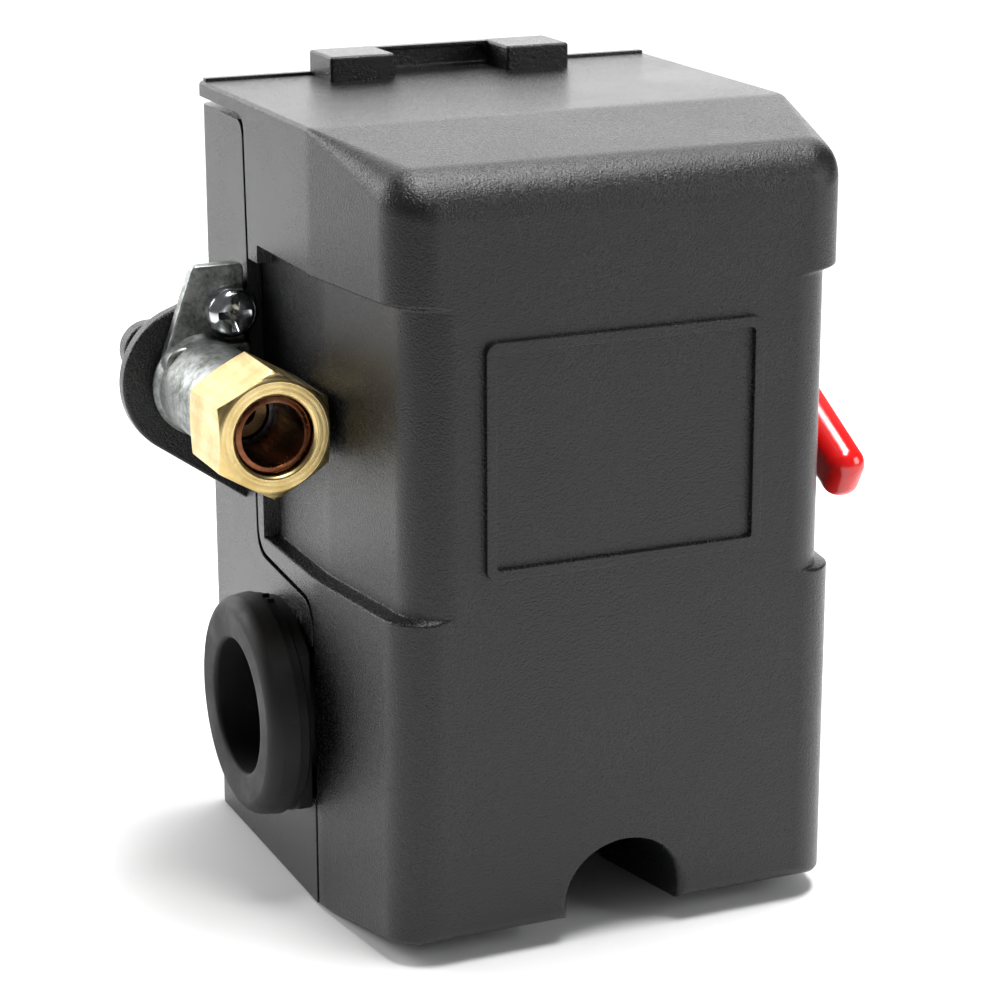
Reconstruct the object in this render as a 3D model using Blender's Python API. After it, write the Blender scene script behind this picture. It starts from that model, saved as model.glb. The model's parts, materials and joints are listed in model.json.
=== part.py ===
"""Air compressor pressure switch with a side unloader valve and an auto/off lever.

Sizes are in millimetres and become metres when a shape is made. Everything is laid out in the case frame:
x is zero on the middle of the case and positive to the right, y is zero on the front face and positive to the
rear, and z is zero on the underside of the base. The assembly empty then moves the whole switch so that the
world origin is the middle of its footprint.
"""

import math

import bmesh
import bpy
from mathutils import Matrix, Vector

MM = 0.001
GAP = 0.3  # clearance between pieces that touch or seat on each other
SLIDE_GAP = 0.8  # clearance under the cover's lip
PAST = 3.0  # how far a cutter runs past the wall that it cuts
BITE = 0.8  # how deep a joined rib or wall reaches into its neighbour

# Case
WIDTH = 64.0
DEPTH = 62.5
HEIGHT = 100.0
WALL = 2.2
FLOOR = 2.4
HALF = WIDTH / 2
CREASE = 22.0  # depth at which the cover's sides start to draw in towards the front
SIDE_DRAW = 2.75
END_DRAW = 3.1
FRONT_RADIUS = 5.2
REAR_RADIUS = 2.0
BOTTOM_RADIUS = 1.5
CREASE_RADIUS = 0.6
WAIST_DEPTH = 1.8
WAIST_LOW = 44.2
HOOD_DROP = 18.0
WAIST_HIGH = HEIGHT - HOOD_DROP
STEP_RISE = 0.6  # height of the sloping shoulder at each end of the waist
RIM_WIDTH = 3.3

# Parting line between base and cover
LIP = 2.0
SPLIT_LOW = DEPTH - 39.4
SPLIT_MID = DEPTH - 19.4
SPLIT_TOP = DEPTH - 17.3
STEP_FRONT = 40.8
STEP_REAR = 42.1
STEP_RADIUS = 3.2
LIP_RADIUS = 2.0
BASE_TOP = HEIGHT - LIP - SLIDE_GAP

# Raised frame on the front, and the loop on the top of the lip
PANEL_WIDTH = 36.4
PANEL_HEIGHT = 28.9
PANEL_SHIFT = -0.6
PANEL_RIM = 1.3
PANEL_PROUD = 0.7
PANEL_RADIUS = 1.2
PANEL_Z = (WAIST_LOW + WAIST_HIGH) / 2
LOOP_INNER = 7.9
LOOP_BLOCK = 9.0
LOOP_DEPTH = 8.5
LOOP_RISE = 3.2
LOOP_BAR = 1.8

# Half-round pipe notch in the bottom of the cover
NOTCH_RADIUS = 7.6
NOTCH_TOP = 12.7
NOTCH_WALL = 1.8
NOTCH_Z = NOTCH_TOP - NOTCH_RADIUS

# Cable grommets
GROMMET_BORE = 8.7
GROMMET_NECK_WALL = 1.2
GROMMET_FLANGE = 14.35
GROMMET_LIP = 2.5
GROMMET_PROUD = 7.1
GROMMET_EDGE = 0.7  # from the parting line to the front of the grommet's neck
GROMMET_NECK = GROMMET_BORE + GROMMET_NECK_WALL
GROMMET_Y = SPLIT_LOW + GROMMET_EDGE + GROMMET_NECK
GROMMET_Z = 24.5

# Chassis
PLATE = 1.6
CHASSIS_ROOM = 5.5
CHASSIS_HALF = HALF - WAIST_DEPTH - WALL - CHASSIS_ROOM
CHASSIS_FLOOR = 10.8
CHASSIS_REAR = DEPTH - WALL - 1.3
CHASSIS_FRONT = CHASSIS_REAR - 32.0
COLUMN_FRONT = CHASSIS_REAR - 13.0
YOKE_DROP = 14.0
YOKE_TOP = HEIGHT - YOKE_DROP
CHEEK_FRONT = CHASSIS_FRONT - 5.0
CHEEK_LOW = 26.0
CHEEK_HIGH = 54.0
CHEEK_STEP = 44.0
CHEEK_STEP_Y = CHEEK_FRONT + 7.0
TAB_REACH = 4.4
TAB_LOW = 28.0
TAB_HIGH = 40.0
PIN_RADIUS = 1.75
PIN_HOLE = PIN_RADIUS + GAP
PIN_PROUD = 0.7

# Pressure port and diaphragm
PORT_BORE = 5.7
PORT_WALL = 5.3
PORT_Y = DEPTH - 19.5
PORT_RECESS = 0.5
PORT_HEX = PORT_BORE + PORT_WALL
PORT_CHAMFER = 0.8
FLANGE_TOP = 9.0
FLANGE_INSET = 1.5
CHAMBER_RADIUS = 12.0
CHAMBER_DEPTH = 1.6
DIAPHRAGM_RADIUS = 14.5
DIAPHRAGM_THICK = 1.2
PLATE_DISC = 9.8
PLATE_DISC_HEIGHT = 3.0
PLATE_STEM = 3.0

# Machine screws
SCREW_RADIUS = 1.75
SCREW_HOLE = SCREW_RADIUS + GAP
SCREW_HEAD = 3.0
SCREW_HEAD_HEIGHT = 2.3
COUNTERSINK_RIM = 0.6
SLOT_WIDTH = 0.9
SLOT_DEPTH = 0.9
FLANGE_SCREW_INSET = 5.5
FLANGE_SCREW_FRONT = PORT_Y - 12.0
FLANGE_SCREW_REAR = PORT_Y + 12.0
BASE_SCREW_X = CHASSIS_HALF - FLANGE_SCREW_INSET
FLANGE_SCREW_END = FLOOR + 3.0
BASE_SCREW_END = FLANGE_TOP - 2.0
GROUND_X = 9.5
GROUND_Y = CHASSIS_FRONT + 3.4

# Rocker
ROCKER_PIVOT_Y = CHASSIS_FRONT - 1.0
ROCKER_PIVOT_Z = 32.0
ROCKER_ROOM = 5.3
ROCKER_HALF = CHASSIS_HALF - PLATE - ROCKER_ROOM
ROCKER_WEB = 27.5
ROCKER_WEB_THICK = 1.8
ROCKER_TOP = 36.0
ROCKER_FRONT = ROCKER_PIVOT_Y - 3.5
ROCKER_REAR = DEPTH - WALL - 0.8
SEAT_Z = ROCKER_WEB + ROCKER_WEB_THICK + GAP

# Adjusting screws, their seats and springs
RANGE_X = -4.0
RANGE_Y = DEPTH - 10.0
RANGE_SCREW = 2.9
RANGE_SEAT = 6.5
RANGE_COIL = 6.2
RANGE_WIRE = 0.9
RANGE_TURNS = 7
DIFFERENTIAL_X = 9.5
DIFFERENTIAL_SCREW = 1.6
DIFFERENTIAL_SEAT = 4.2
DIFFERENTIAL_COIL = 3.3
DIFFERENTIAL_WIRE = 0.5
DIFFERENTIAL_TURNS = 8
ADJUSTER_HEAD = 4.0
SEAT_DROP = 7.0
SEAT_THICK = 3.0
SCREW_TAIL = 30.0

# Contacts and terminals
BLOCK_FRONT = CHEEK_FRONT - 12.0
BLOCK_LOW = TAB_LOW
BLOCK_HIGH = TAB_HIGH
BLOCK_MIDDLE = (BLOCK_LOW + BLOCK_HIGH) / 2
BLOCK_SCREW_X = CHASSIS_HALF + TAB_REACH / 2
RIB_HALF = 0.7
TERMINAL_THICK = 1.3
TERMINAL_SCREW_END = BLOCK_FRONT + 6.0
TERMINAL_EDGE = 1.58  # from the chassis cheek in to the outermost terminal
TERMINAL_SPACE = 3.5
TERMINAL_PITCH = (CHASSIS_HALF - TERMINAL_EDGE + TERMINAL_SPACE / 2) / 2
TERMINAL_WIDTH = TERMINAL_PITCH - TERMINAL_SPACE
TERMINAL_SCREW_Z = BLOCK_MIDDLE - 0.5
CONTACT_RADIUS = 1.6
CONTACT_RISE = 0.9
CONTACT_Y = BLOCK_FRONT + 5.5
BAR_THICK = 1.2
BAR_WIDTH = 4.6
CARRIER_PIVOT_Y = CHEEK_STEP_Y + 5.0
CARRIER_PIVOT_Z = 47.5
CARRIER_LOW = 46.0
CARRIER_THICK = 2.6
CARRIER_BARREL = 3.0
CARRIER_HALF = CHASSIS_HALF - PLATE - 2.4
SNAP_Y = CARRIER_PIVOT_Y + 6.3
SNAP_COIL = 2.2
SNAP_WIRE = 0.4
SNAP_TURNS = 6

# Auto/off lever
LEVER_Y = DEPTH - 10.5
LEVER_Z = HEIGHT - 26.0
LEVER_SLOPE = 28.0
LEVER_STANDOFF = 3.5
LEVER_THICK = 1.6
LEVER_LENGTH = 46.0
LEVER_HALF = 3.3
LEVER_HUB = 6.0
SHAFT_RADIUS = 3.0
SHAFT_NECK = 2.0
SHAFT_HEAD = 3.6
GRIP_LENGTH = 27.0
GRIP_HALF = 4.3
GRIP_WALL = 2.0
LEVER_X = HALF + LEVER_STANDOFF
CAM_THICK = 4.0
CAM_RADIUS = 5.0
CAM_REACH = 8.5

# Unloader valve
NUT_FLATS = 14.0
NUT_FRONT = DEPTH - 44.1
NUT_LENGTH = 11.6
NUT_BORE = 4.95
NUT_SHOULDER = NUT_FRONT + 3.1
NUT_ROOM = 0.8
THREAD_RADIUS = 5.7
VALVE_RADIUS = 6.5
VALVE_X = -(HALF - WAIST_DEPTH + NUT_ROOM + NUT_FLATS / 2)
VALVE_Z = HEIGHT - 36.1
EAR_FRONT = DEPTH - 16.9
EAR_THICK = 1.9
EAR_SCREW_X = -(HALF + 2.5)
EAR_SCREW_Z = VALVE_Z + 9.4
EAR_SCREW_HEAD = 3.25
CROSS_LENGTH = 3.6
CROSS_WIDTH = 0.8
LUG_THICK = 2.2
LUG_RADIUS = 10.0
LUG_FRONT = EAR_FRONT + EAR_THICK + GAP
LUG_BOSS = 3.8
CHAMBER = 3.4
VALVE_PIN = 1.2
SEAL_THICK = 2.6
RETAINER_THICK = 1.6
VALVE_SEAT_Y = EAR_FRONT - 2.4
SLEEVE_RADIUS = 4.6
SLEEVE_WALL = 0.7
UNLOADER_COIL = 2.5
UNLOADER_WIRE = 0.45
UNLOADER_TURNS = 6
ARM_FRONT = DEPTH - 8.5
ARM_THICK = 3.0
ARM_RADIUS = 3.8
ARM_Z = VALVE_Z + 2.8
ARM_TIP = VALVE_X - 4.0
ARM_STRIP = 2.2
ARM_SWING = 2.0  # room for the arm to swing forward when the rocker lifts
BOSS_REAR = ARM_FRONT - ARM_SWING - 2 * GAP

# Footprint
LEFT_EDGE = VALVE_X - LUG_RADIUS
RIGHT_EDGE = LEVER_X + LEVER_THICK + GAP + GRIP_WALL
FRONT_EDGE = -PANEL_PROUD
ORIGIN = ((LEFT_EDGE + RIGHT_EDGE) / 2, (FRONT_EDGE + DEPTH) / 2, 0.0)

LOOKS = {
    "black_plastic": ((0.030, 0.030, 0.032), 0.38, 0.0),
    "black_rubber": ((0.018, 0.018, 0.018), 0.75, 0.0),
    "zinc_plate": ((0.58, 0.60, 0.58), 0.38, 1.0),
    "die_cast": ((0.50, 0.51, 0.53), 0.45, 1.0),
    "brass": ((0.80, 0.63, 0.30), 0.25, 1.0),
    "copper": ((0.45, 0.18, 0.09), 0.35, 1.0),
    "spring_steel": ((0.42, 0.42, 0.43), 0.30, 1.0),
    "bright_steel": ((0.72, 0.72, 0.74), 0.18, 1.0),
    "red_vinyl": ((0.72, 0.010, 0.014), 0.22, 0.0),
    "green_screw": ((0.02, 0.30, 0.08), 0.35, 1.0),
    "white_nylon": ((0.78, 0.77, 0.72), 0.50, 0.0),
    "phenolic": ((0.045, 0.030, 0.022), 0.55, 0.0),
}

TURN_TO = {
    "X": Matrix(((0, 0, 1), (1, 0, 0), (0, 1, 0))),
    "Y": Matrix(((1, 0, 0), (0, 0, 1), (0, 1, 0))),
    "Z": Matrix.Identity(3),
}


# ---------------------------------------------------------------- shapes


def spot(axis, across, up, along):
    """A point in metres from its two coordinates across an axis and its distance along it."""
    return {
        "X": Vector((along, across, up)),
        "Y": Vector((across, along, up)),
        "Z": Vector((across, up, along)),
    }[axis] * MM


def shape(bm, name="shape"):
    """A bmesh made into an object of its own."""
    bmesh.ops.recalc_face_normals(bm, faces=bm.faces)
    mesh = bpy.data.meshes.new(name)
    bm.to_mesh(mesh)
    bm.free()
    item = bpy.data.objects.new(name, mesh)
    bpy.context.scene.collection.objects.link(item)
    return item


def prism(outline, axis, start, end):
    """An outline extruded along an axis."""
    bm = bmesh.new()
    face = bm.faces.new([bm.verts.new(spot(axis, u, v, start)) for u, v in outline])
    grown = bmesh.ops.extrude_face_region(bm, geom=[face])
    tips = [item for item in grown["geom"] if isinstance(item, bmesh.types.BMVert)]
    bmesh.ops.translate(bm, verts=tips, vec=spot(axis, 0, 0, end) - spot(axis, 0, 0, start))
    return shape(bm)


def block(x, y, z):
    """A rectangular block between two values on each axis."""
    return prism([(x[0], y[0]), (x[1], y[0]), (x[1], y[1]), (x[0], y[1])], "Z", z[0], z[1])


def turned(profile, axis, across, up, steps=32):
    """A profile of (radius, distance) points turned about a line along an axis."""
    bm = bmesh.new()
    points = [bm.verts.new(Vector((radius, 0, along)) * MM) for radius, along in profile]
    pairs = list(zip(points, points[1:]))
    if min(radius for radius, _ in profile) > 0:
        pairs.append((points[-1], points[0]))
    edges = [bm.edges.new(pair) for pair in pairs]
    bmesh.ops.spin(
        bm,
        geom=points + edges,
        cent=(0, 0, 0),
        axis=(0, 0, 1),
        angle=2 * math.pi,
        steps=steps,
        use_merge=True,
    )
    bmesh.ops.remove_doubles(bm, verts=bm.verts, dist=GAP * MM / 1000)
    bmesh.ops.transform(bm, matrix=TURN_TO[axis].to_4x4(), verts=bm.verts)
    bmesh.ops.translate(bm, verts=bm.verts, vec=spot(axis, across, up, 0))
    return shape(bm)


def rod(radius, axis, across, up, start, end, steps=32):
    """A plain cylinder along an axis."""
    return turned([(0, start), (radius, start), (radius, end), (0, end)], axis, across, up, steps)


def ring(outer, inner, axis, across, up, start, end, steps=32):
    """A plain tube along an axis."""
    profile = [(inner, start), (outer, start), (outer, end), (inner, end)]
    return turned(profile, axis, across, up, steps)


def rounded(corners, segments=4):
    """An outline from (across, up, radius) corners."""
    outline = []
    for index, (across, up, radius) in enumerate(corners):
        here = Vector((across, up))
        if not radius:
            outline.append(tuple(here))
            continue
        back = (Vector(corners[index - 1][:2]) - here).normalized()
        ahead = (Vector(corners[(index + 1) % len(corners)][:2]) - here).normalized()
        half = back.angle(ahead) / 2
        middle = here + (back + ahead).normalized() * (radius / math.sin(half))
        first = here + back * (radius / math.tan(half)) - middle
        last = here + ahead * (radius / math.tan(half)) - middle
        sweep = first.angle_signed(last)
        for step in range(segments + 1):
            outline.append(tuple(middle + Matrix.Rotation(-sweep * step / segments, 2) @ first))
    return outline


def round_rectangle(middle, size, radius, segments=4):
    """A rectangle with equal rounded corners."""
    (u, v), (width, height) = middle, size
    signs = ((-1, -1), (1, -1), (1, 1), (-1, 1))
    return rounded([(u + a * width / 2, v + b * height / 2, radius) for a, b in signs], segments)


def hexagon(middle, flats, corner_up=True):
    """A hexagon of a size across its flats."""
    turn = math.pi / 2 if corner_up else 0
    radius = flats / math.sqrt(3)
    angles = [turn + math.pi / 3 * side for side in range(6)]
    return [(middle[0] + radius * math.cos(a), middle[1] + radius * math.sin(a)) for a in angles]


def arc(middle, radius, first, last, segments=8):
    """Points on an arc between two angles in degrees."""
    span = (last - first) / segments
    angles = [math.radians(first + span * step) for step in range(segments + 1)]
    return [(middle[0] + radius * math.cos(a), middle[1] + radius * math.sin(a)) for a in angles]


def loft(sections):
    """A closed solid through equal rings of points."""
    bm = bmesh.new()
    rings = [[bm.verts.new(Vector(point) * MM) for point in section] for section in sections]
    for one, two in zip(rings, rings[1:]):
        for index in range(len(one)):
            after = (index + 1) % len(one)
            bm.faces.new((one[index], one[after], two[after], two[index]))
    bm.faces.new(rings[0])
    bm.faces.new(rings[-1])
    return shape(bm)


def baked(item):
    """The object with its modifiers made part of its mesh."""
    bpy.context.view_layer.update()
    mesh = bpy.data.meshes.new_from_object(item.evaluated_get(bpy.context.evaluated_depsgraph_get()))
    item.modifiers.clear()
    item.data = mesh
    return item


def combined(item, tools, operation):
    """The object after a Boolean with each tool, and the tools removed."""
    for tool in tools:
        modifier = item.modifiers.new(operation.lower(), "BOOLEAN")
        modifier.operation = operation
        modifier.solver = "EXACT"
        modifier.object = tool
    baked(item)
    for tool in tools:
        bpy.data.objects.remove(tool, do_unlink=True)
    return item


def joined(item, *others):
    return combined(item, others, "UNION")


def cut(item, *tools):
    return combined(item, tools, "DIFFERENCE")


def common(item, *tools):
    return combined(item, tools, "INTERSECT")


def softened(item, width, segments=2, angle=40.0):
    """The object with its sharp edges rounded."""
    modifier = item.modifiers.new("soften", "BEVEL")
    modifier.width = width * MM
    modifier.segments = segments
    modifier.limit_method = "ANGLE"
    modifier.angle_limit = math.radians(angle)
    return baked(item)


def coil(axis, across, up, radius, wire, start, end, turns, steps=12):
    """A round wire wound about a line along an axis, between two ends that the wire stays inside."""
    count = turns * steps
    low, high = start + wire, end - wire
    curve = bpy.data.curves.new("coil", "CURVE")
    curve.dimensions = "3D"
    curve.bevel_depth = wire * MM
    curve.bevel_resolution = 0
    curve.use_fill_caps = True
    spline = curve.splines.new("POLY")
    spline.points.add(count)
    for index in range(count + 1):
        angle = 2 * math.pi * index / steps
        along = low + (high - low) * index / count
        place = spot(axis, across + radius * math.cos(angle), up + radius * math.sin(angle), along)
        spline.points[index].co = (*place, 1)
    wound = bpy.data.objects.new("coil", curve)
    bpy.context.scene.collection.objects.link(wound)
    bpy.context.view_layer.update()
    graph = bpy.context.evaluated_depsgraph_get()
    mesh = bpy.data.meshes.new_from_object(wound.evaluated_get(graph))
    bpy.data.objects.remove(wound, do_unlink=True)
    bm = bmesh.new()
    bm.from_mesh(mesh)
    bmesh.ops.remove_doubles(bm, verts=bm.verts, dist=GAP * MM / 1000)
    return shape(bm)


def material(look):
    """A Principled material made once for each look."""
    if look in bpy.data.materials:
        return bpy.data.materials[look]
    colour, roughness, metallic = LOOKS[look]
    made = bpy.data.materials.new(look)
    made.use_nodes = True
    shader = made.node_tree.nodes["Principled BSDF"]
    shader.inputs["Base Color"].default_value = (*colour, 1)
    shader.inputs["Roughness"].default_value = roughness
    shader.inputs["Metallic"].default_value = metallic
    return made


def piece(name, item, look, pivot=(0, 0, 0), turn=0.0):
    """Names a finished shape, moves its origin to its pivot and hangs it on the assembly.

    A shape that was made pointing along its own axes is turned about X by an angle in degrees at its pivot.
    """
    item.name = name
    item.data.name = name
    item.data.transform(Matrix.Translation(-Vector(pivot) * MM))
    item.location = Vector(pivot) * MM
    item.rotation_euler = (math.radians(turn), 0, 0)
    item.parent = bpy.data.objects["assembly"]
    item.data.materials.clear()
    item.data.materials.append(material(look))
    item.data.shade_smooth()
    item.data.set_sharp_from_angle(angle=math.radians(30))
    return item


# ---------------------------------------------------------------- case


def cover_section(y, inset, rim):
    """The cover's outline across the case at a depth, drawn in by a wall thickness."""
    taper = max(0.0, 1 - y / CREASE)
    radius = FRONT_RADIUS - inset
    into = max(0.0, radius - (y - inset))
    edge = radius - math.sqrt(max(0.0, radius**2 - into**2))
    foot = max(0.0, BOTTOM_RADIUS - (y - inset))
    heel = BOTTOM_RADIUS - math.sqrt(max(0.0, BOTTOM_RADIUS**2 - foot**2))
    side = HALF - SIDE_DRAW * taper - inset - edge
    top = HEIGHT - END_DRAW * taper - inset - edge
    bottom = END_DRAW * taper + inset + heel
    corner = max(CREASE_RADIUS + (FRONT_RADIUS - CREASE_RADIUS) * taper - edge, CREASE_RADIUS)
    waist = side - (0.0 if rim else WAIST_DEPTH)
    low, high = WAIST_LOW - inset, WAIST_HIGH + inset
    right = arc((side - CREASE_RADIUS, bottom + CREASE_RADIUS), CREASE_RADIUS, -90, 0, 3)
    right += [(side, low - STEP_RISE), (waist, low + STEP_RISE)]
    right += [(waist, high - STEP_RISE), (side, high + STEP_RISE)]
    right += arc((side - corner, top - corner), corner, 0, 90, 5)
    left = [(-x, z) for x, z in reversed(right)]
    return [(x, y, z) for x, z in right + left]


def cover_form(inset, rear):
    """The cover's form, solid, from its front face back to a depth."""
    radius = FRONT_RADIUS - inset
    turns = [math.radians(angle) for angle in (0, 18, 36, 54, 72, 90)]
    depths = [inset + radius * (1 - math.cos(turn)) for turn in turns] + [CREASE]
    sections = [cover_section(y, inset, False) for y in depths]
    if inset:
        sections.append(cover_section(rear, inset, False))
        return loft(sections)
    rim = SPLIT_MID - RIM_WIDTH + (SPLIT_TOP - SPLIT_MID) / 2
    sections.append(cover_section(rim, inset, False))
    sections += [cover_section(depth, inset, True) for depth in (rim + GAP, rear)]
    return loft(sections)


def behind_parting(shift, top, rear):
    """The side outline of everything behind the parting line, which the base fills."""
    return rounded(
        [
            (SPLIT_LOW + shift, 0.0 if shift else -PAST, 0),
            (SPLIT_LOW + shift, STEP_FRONT - shift, STEP_RADIUS),
            (SPLIT_MID + shift, STEP_REAR - shift, STEP_RADIUS),
            (SPLIT_TOP + shift, top, LIP_RADIUS),
            (rear, top, 0),
            (rear, 0.0 if shift else -PAST, 0),
        ],
        5,
    )


def notch_outline(radius):
    """The half-round tunnel's outline, open below."""
    return [(radius, -PAST), *arc((0, NOTCH_Z), radius, 0, 180, 16), (-radius, -PAST)]


def front_cover():
    hollow = cut(
        cover_form(WALL, DEPTH + PAST),
        prism(notch_outline(NOTCH_RADIUS + NOTCH_WALL), "Y", -PAST, DEPTH + 2 * PAST),
    )
    cover = cut(
        cover_form(0.0, DEPTH),
        hollow,
        prism(behind_parting(0.0, HEIGHT - LIP, DEPTH + PAST), "X", -HALF - PAST, HALF + PAST),
        prism(notch_outline(NOTCH_RADIUS), "Y", -PAST, SPLIT_LOW + PAST),
        block(
            (-HALF - PAST, -HALF + WAIST_DEPTH),
            (SPLIT_MID - RIM_WIDTH, DEPTH),
            (VALVE_Z - VALVE_RADIUS - 2.0, WAIST_HIGH - 2.0),
        ),
    )
    return joined(cover, panel_frame(), *loop_on_lip())


def panel_frame():
    """The thin raised frame on the front face."""
    middle = (PANEL_SHIFT, PANEL_Z)
    inner_size = (PANEL_WIDTH - 2 * PANEL_RIM, PANEL_HEIGHT - 2 * PANEL_RIM)
    outer = round_rectangle(middle, (PANEL_WIDTH, PANEL_HEIGHT), PANEL_RADIUS + PANEL_RIM)
    frame = prism(outer, "Y", -PANEL_PROUD, BITE)
    return cut(frame, prism(round_rectangle(middle, inner_size, PANEL_RADIUS), "Y", -PAST, PAST))


def loop_on_lip():
    """Two blocks and the bar that joins them at the rear edge of the lip."""
    front, low, high = DEPTH - LOOP_DEPTH, HEIGHT - BITE, HEIGHT + LOOP_RISE
    outer = LOOP_INNER + LOOP_BLOCK
    blocks = [block((LOOP_INNER, outer), (front, DEPTH - 0.5), (low, high))]
    blocks.append(block((-outer, -LOOP_INNER), (front, DEPTH - 0.5), (low, high)))
    bar = block((-LOOP_INNER - BITE, LOOP_INNER + BITE), (DEPTH - LOOP_BAR, DEPTH - 0.7), (low, high - 0.4))
    return [*[softened(each, 0.35, 1) for each in blocks], bar]


def grommet_slot(side):
    """The slot in a side wall that the grommet's neck slides into from the front."""
    reach = GROMMET_NECK + GAP
    outline = [(SPLIT_LOW - PAST, GROMMET_Z - reach)]
    outline += arc((GROMMET_Y, GROMMET_Z), reach, -90, 90, 12)
    outline.append((SPLIT_LOW - PAST, GROMMET_Z + reach))
    start, end = HALF - WALL - PAST, HALF + PAST
    return prism(outline, "X", side * start, side * end)


def valve_lug():
    """The round-ended lug on the left side that the unloader valve screws to."""
    middle = (VALVE_X, VALVE_Z)
    inner = -HALF + WALL / 2
    rim = arc(middle, LUG_RADIUS, 110, 235, 14)
    slope_up, slope_down = math.tan(math.radians(20)), math.tan(math.radians(35))
    outline = [(inner, rim[0][1] + (inner - rim[0][0]) * slope_up), *rim]
    outline.append((inner, rim[-1][1] - (inner - rim[-1][0]) * slope_down))
    lug = prism(outline, "Y", LUG_FRONT, LUG_FRONT + LUG_THICK)
    boss = rod(LUG_BOSS, "Y", EAR_SCREW_X, EAR_SCREW_Z, LUG_FRONT + BITE, BOSS_REAR, 20)
    return joined(lug, boss)


def rear_base():
    plan = rounded(
        [
            (-HALF, -PAST, 0),
            (HALF, -PAST, 0),
            (HALF, DEPTH, REAR_RADIUS),
            (-HALF, DEPTH, REAR_RADIUS),
        ]
    )
    side = behind_parting(GAP, BASE_TOP, DEPTH + PAST)
    base = common(
        prism(side, "X", -HALF - PAST, HALF + PAST), prism(plan, "Z", -PAST, HEIGHT + PAST)
    )
    inside = (-HALF + WALL, HALF - WALL)
    base = cut(base, block(inside, (-PAST, DEPTH - WALL), (FLOOR, BASE_TOP - WALL)))
    base = joined(base, valve_lug())
    hex_reach = PORT_HEX * 2 / math.sqrt(3) + GAP
    return cut(
        base,
        grommet_slot(1),
        grommet_slot(-1),
        rod(hex_reach, "Z", 0, PORT_Y, -PAST, FLOOR + PAST, 32),
        *[countersink(x, GAP) for x in (-BASE_SCREW_X, BASE_SCREW_X)],
        rod(SHAFT_RADIUS + GAP, "X", LEVER_Y, LEVER_Z, HALF - WALL - PAST, HALF + PAST, 24),
        block(
            (-HALF - PAST, -HALF + WALL + PAST),
            (ARM_FRONT - 2.5, DEPTH - WALL - 1.0),
            (ARM_Z - ARM_RADIUS - 1.5, ARM_Z + ARM_RADIUS + 3.5),
        ),
        rod(SCREW_HOLE, "Y", EAR_SCREW_X, EAR_SCREW_Z, LUG_FRONT - PAST, BOSS_REAR + PAST, 12),
        rod(EAR_SCREW_HEAD + 2 * GAP, "Y", EAR_SCREW_X, EAR_SCREW_Z, SPLIT_MID - PAST, EAR_FRONT, 24),
        rod(VALVE_PIN + GAP, "Y", VALVE_X, VALVE_Z, LUG_FRONT - PAST, LUG_FRONT + LUG_THICK + PAST, 12),
    )


def grommet(side):
    """A rubber grommet: a lip inside the wall, a neck through it and a thick rounded flange outside."""
    inside, outside = HALF - WALL - GAP, HALF + GAP
    face = HALF + GROMMET_PROUD
    profile = [
        (GROMMET_BORE, inside - GROMMET_LIP + 0.3),
        (GROMMET_NECK + GROMMET_LIP, inside - GROMMET_LIP + 0.3),
        (GROMMET_NECK + GROMMET_LIP, inside),
        (GROMMET_NECK, inside),
        (GROMMET_NECK, outside),
        (GROMMET_FLANGE - 0.4, outside),
        (GROMMET_FLANGE - 0.4, outside + 1.9),
        (GROMMET_FLANGE - 1.1, outside + 2.3),
        *[(v, u) for u, v in arc((face - 2.2, GROMMET_FLANGE - 2.2), 2.2, 90, 0, 3)],
        (GROMMET_BORE + 0.6, face),
        (GROMMET_BORE, face - 0.6),
    ]
    made = turned([(radius, side * along) for radius, along in profile], "X", GROMMET_Y, GROMMET_Z, 36)
    name = "grommet_right" if side > 0 else "grommet_left"
    return piece(name, made, "black_rubber")


# ---------------------------------------------------------------- pressure side


def port_flange():
    half = CHASSIS_HALF - FLANGE_INSET
    front, rear = CHASSIS_FRONT + 0.5, CHASSIS_REAR - 0.5
    plan = round_rectangle((0, (front + rear) / 2), (2 * half, rear - front), 3.0)
    plate = prism(plan, "Z", FLOOR + GAP, FLANGE_TOP)
    nose = prism(hexagon((0, PORT_Y), 2 * PORT_HEX, False), "Z", PORT_RECESS, FLOOR + GAP + BITE)
    flange = joined(plate, nose)
    mouth = PORT_BORE + PORT_CHAMFER
    chamber = FLANGE_TOP - CHAMBER_DEPTH
    bore = [
        (0, -PAST),
        (mouth, -PAST),
        (mouth, PORT_RECESS),
        (PORT_BORE, PORT_RECESS + PORT_CHAMFER),
        (PORT_BORE, chamber),
        (CHAMBER_RADIUS, chamber),
        (CHAMBER_RADIUS, FLANGE_TOP + PAST),
        (0, FLANGE_TOP + PAST),
    ]
    cutters = [turned(bore, "Z", 0, PORT_Y, 32)]
    for x, y in flange_screw_places():
        cutters.append(rod(SCREW_HOLE, "Z", x, y, FLANGE_SCREW_END - 1.0, FLANGE_TOP + PAST, 12))
    for x in (-BASE_SCREW_X, BASE_SCREW_X):
        cutters.append(rod(SCREW_HOLE, "Z", x, PORT_Y, -PAST, BASE_SCREW_END + 0.8, 12))
    return piece("port_flange", cut(flange, *cutters), "die_cast")


def flange_screw_places():
    x = CHASSIS_HALF - FLANGE_SCREW_INSET
    return [(sign * x, y) for y in (FLANGE_SCREW_FRONT, FLANGE_SCREW_REAR) for sign in (-1, 1)]


def diaphragm():
    low = FLANGE_TOP + GAP
    high = low + DIAPHRAGM_THICK
    groove = PLATE_DISC + 0.5
    profile = [(0, low), (groove, low), (groove + 0.7, low - 0.8), (groove + 1.4, low)]
    profile += [(DIAPHRAGM_RADIUS, low), (DIAPHRAGM_RADIUS, high), (groove + 1.4, high)]
    profile += [(groove + 0.7, high - 0.8), (groove, high), (0, high)]
    return piece("diaphragm", turned(profile, "Z", 0, PORT_Y, 28), "black_rubber")


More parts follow.
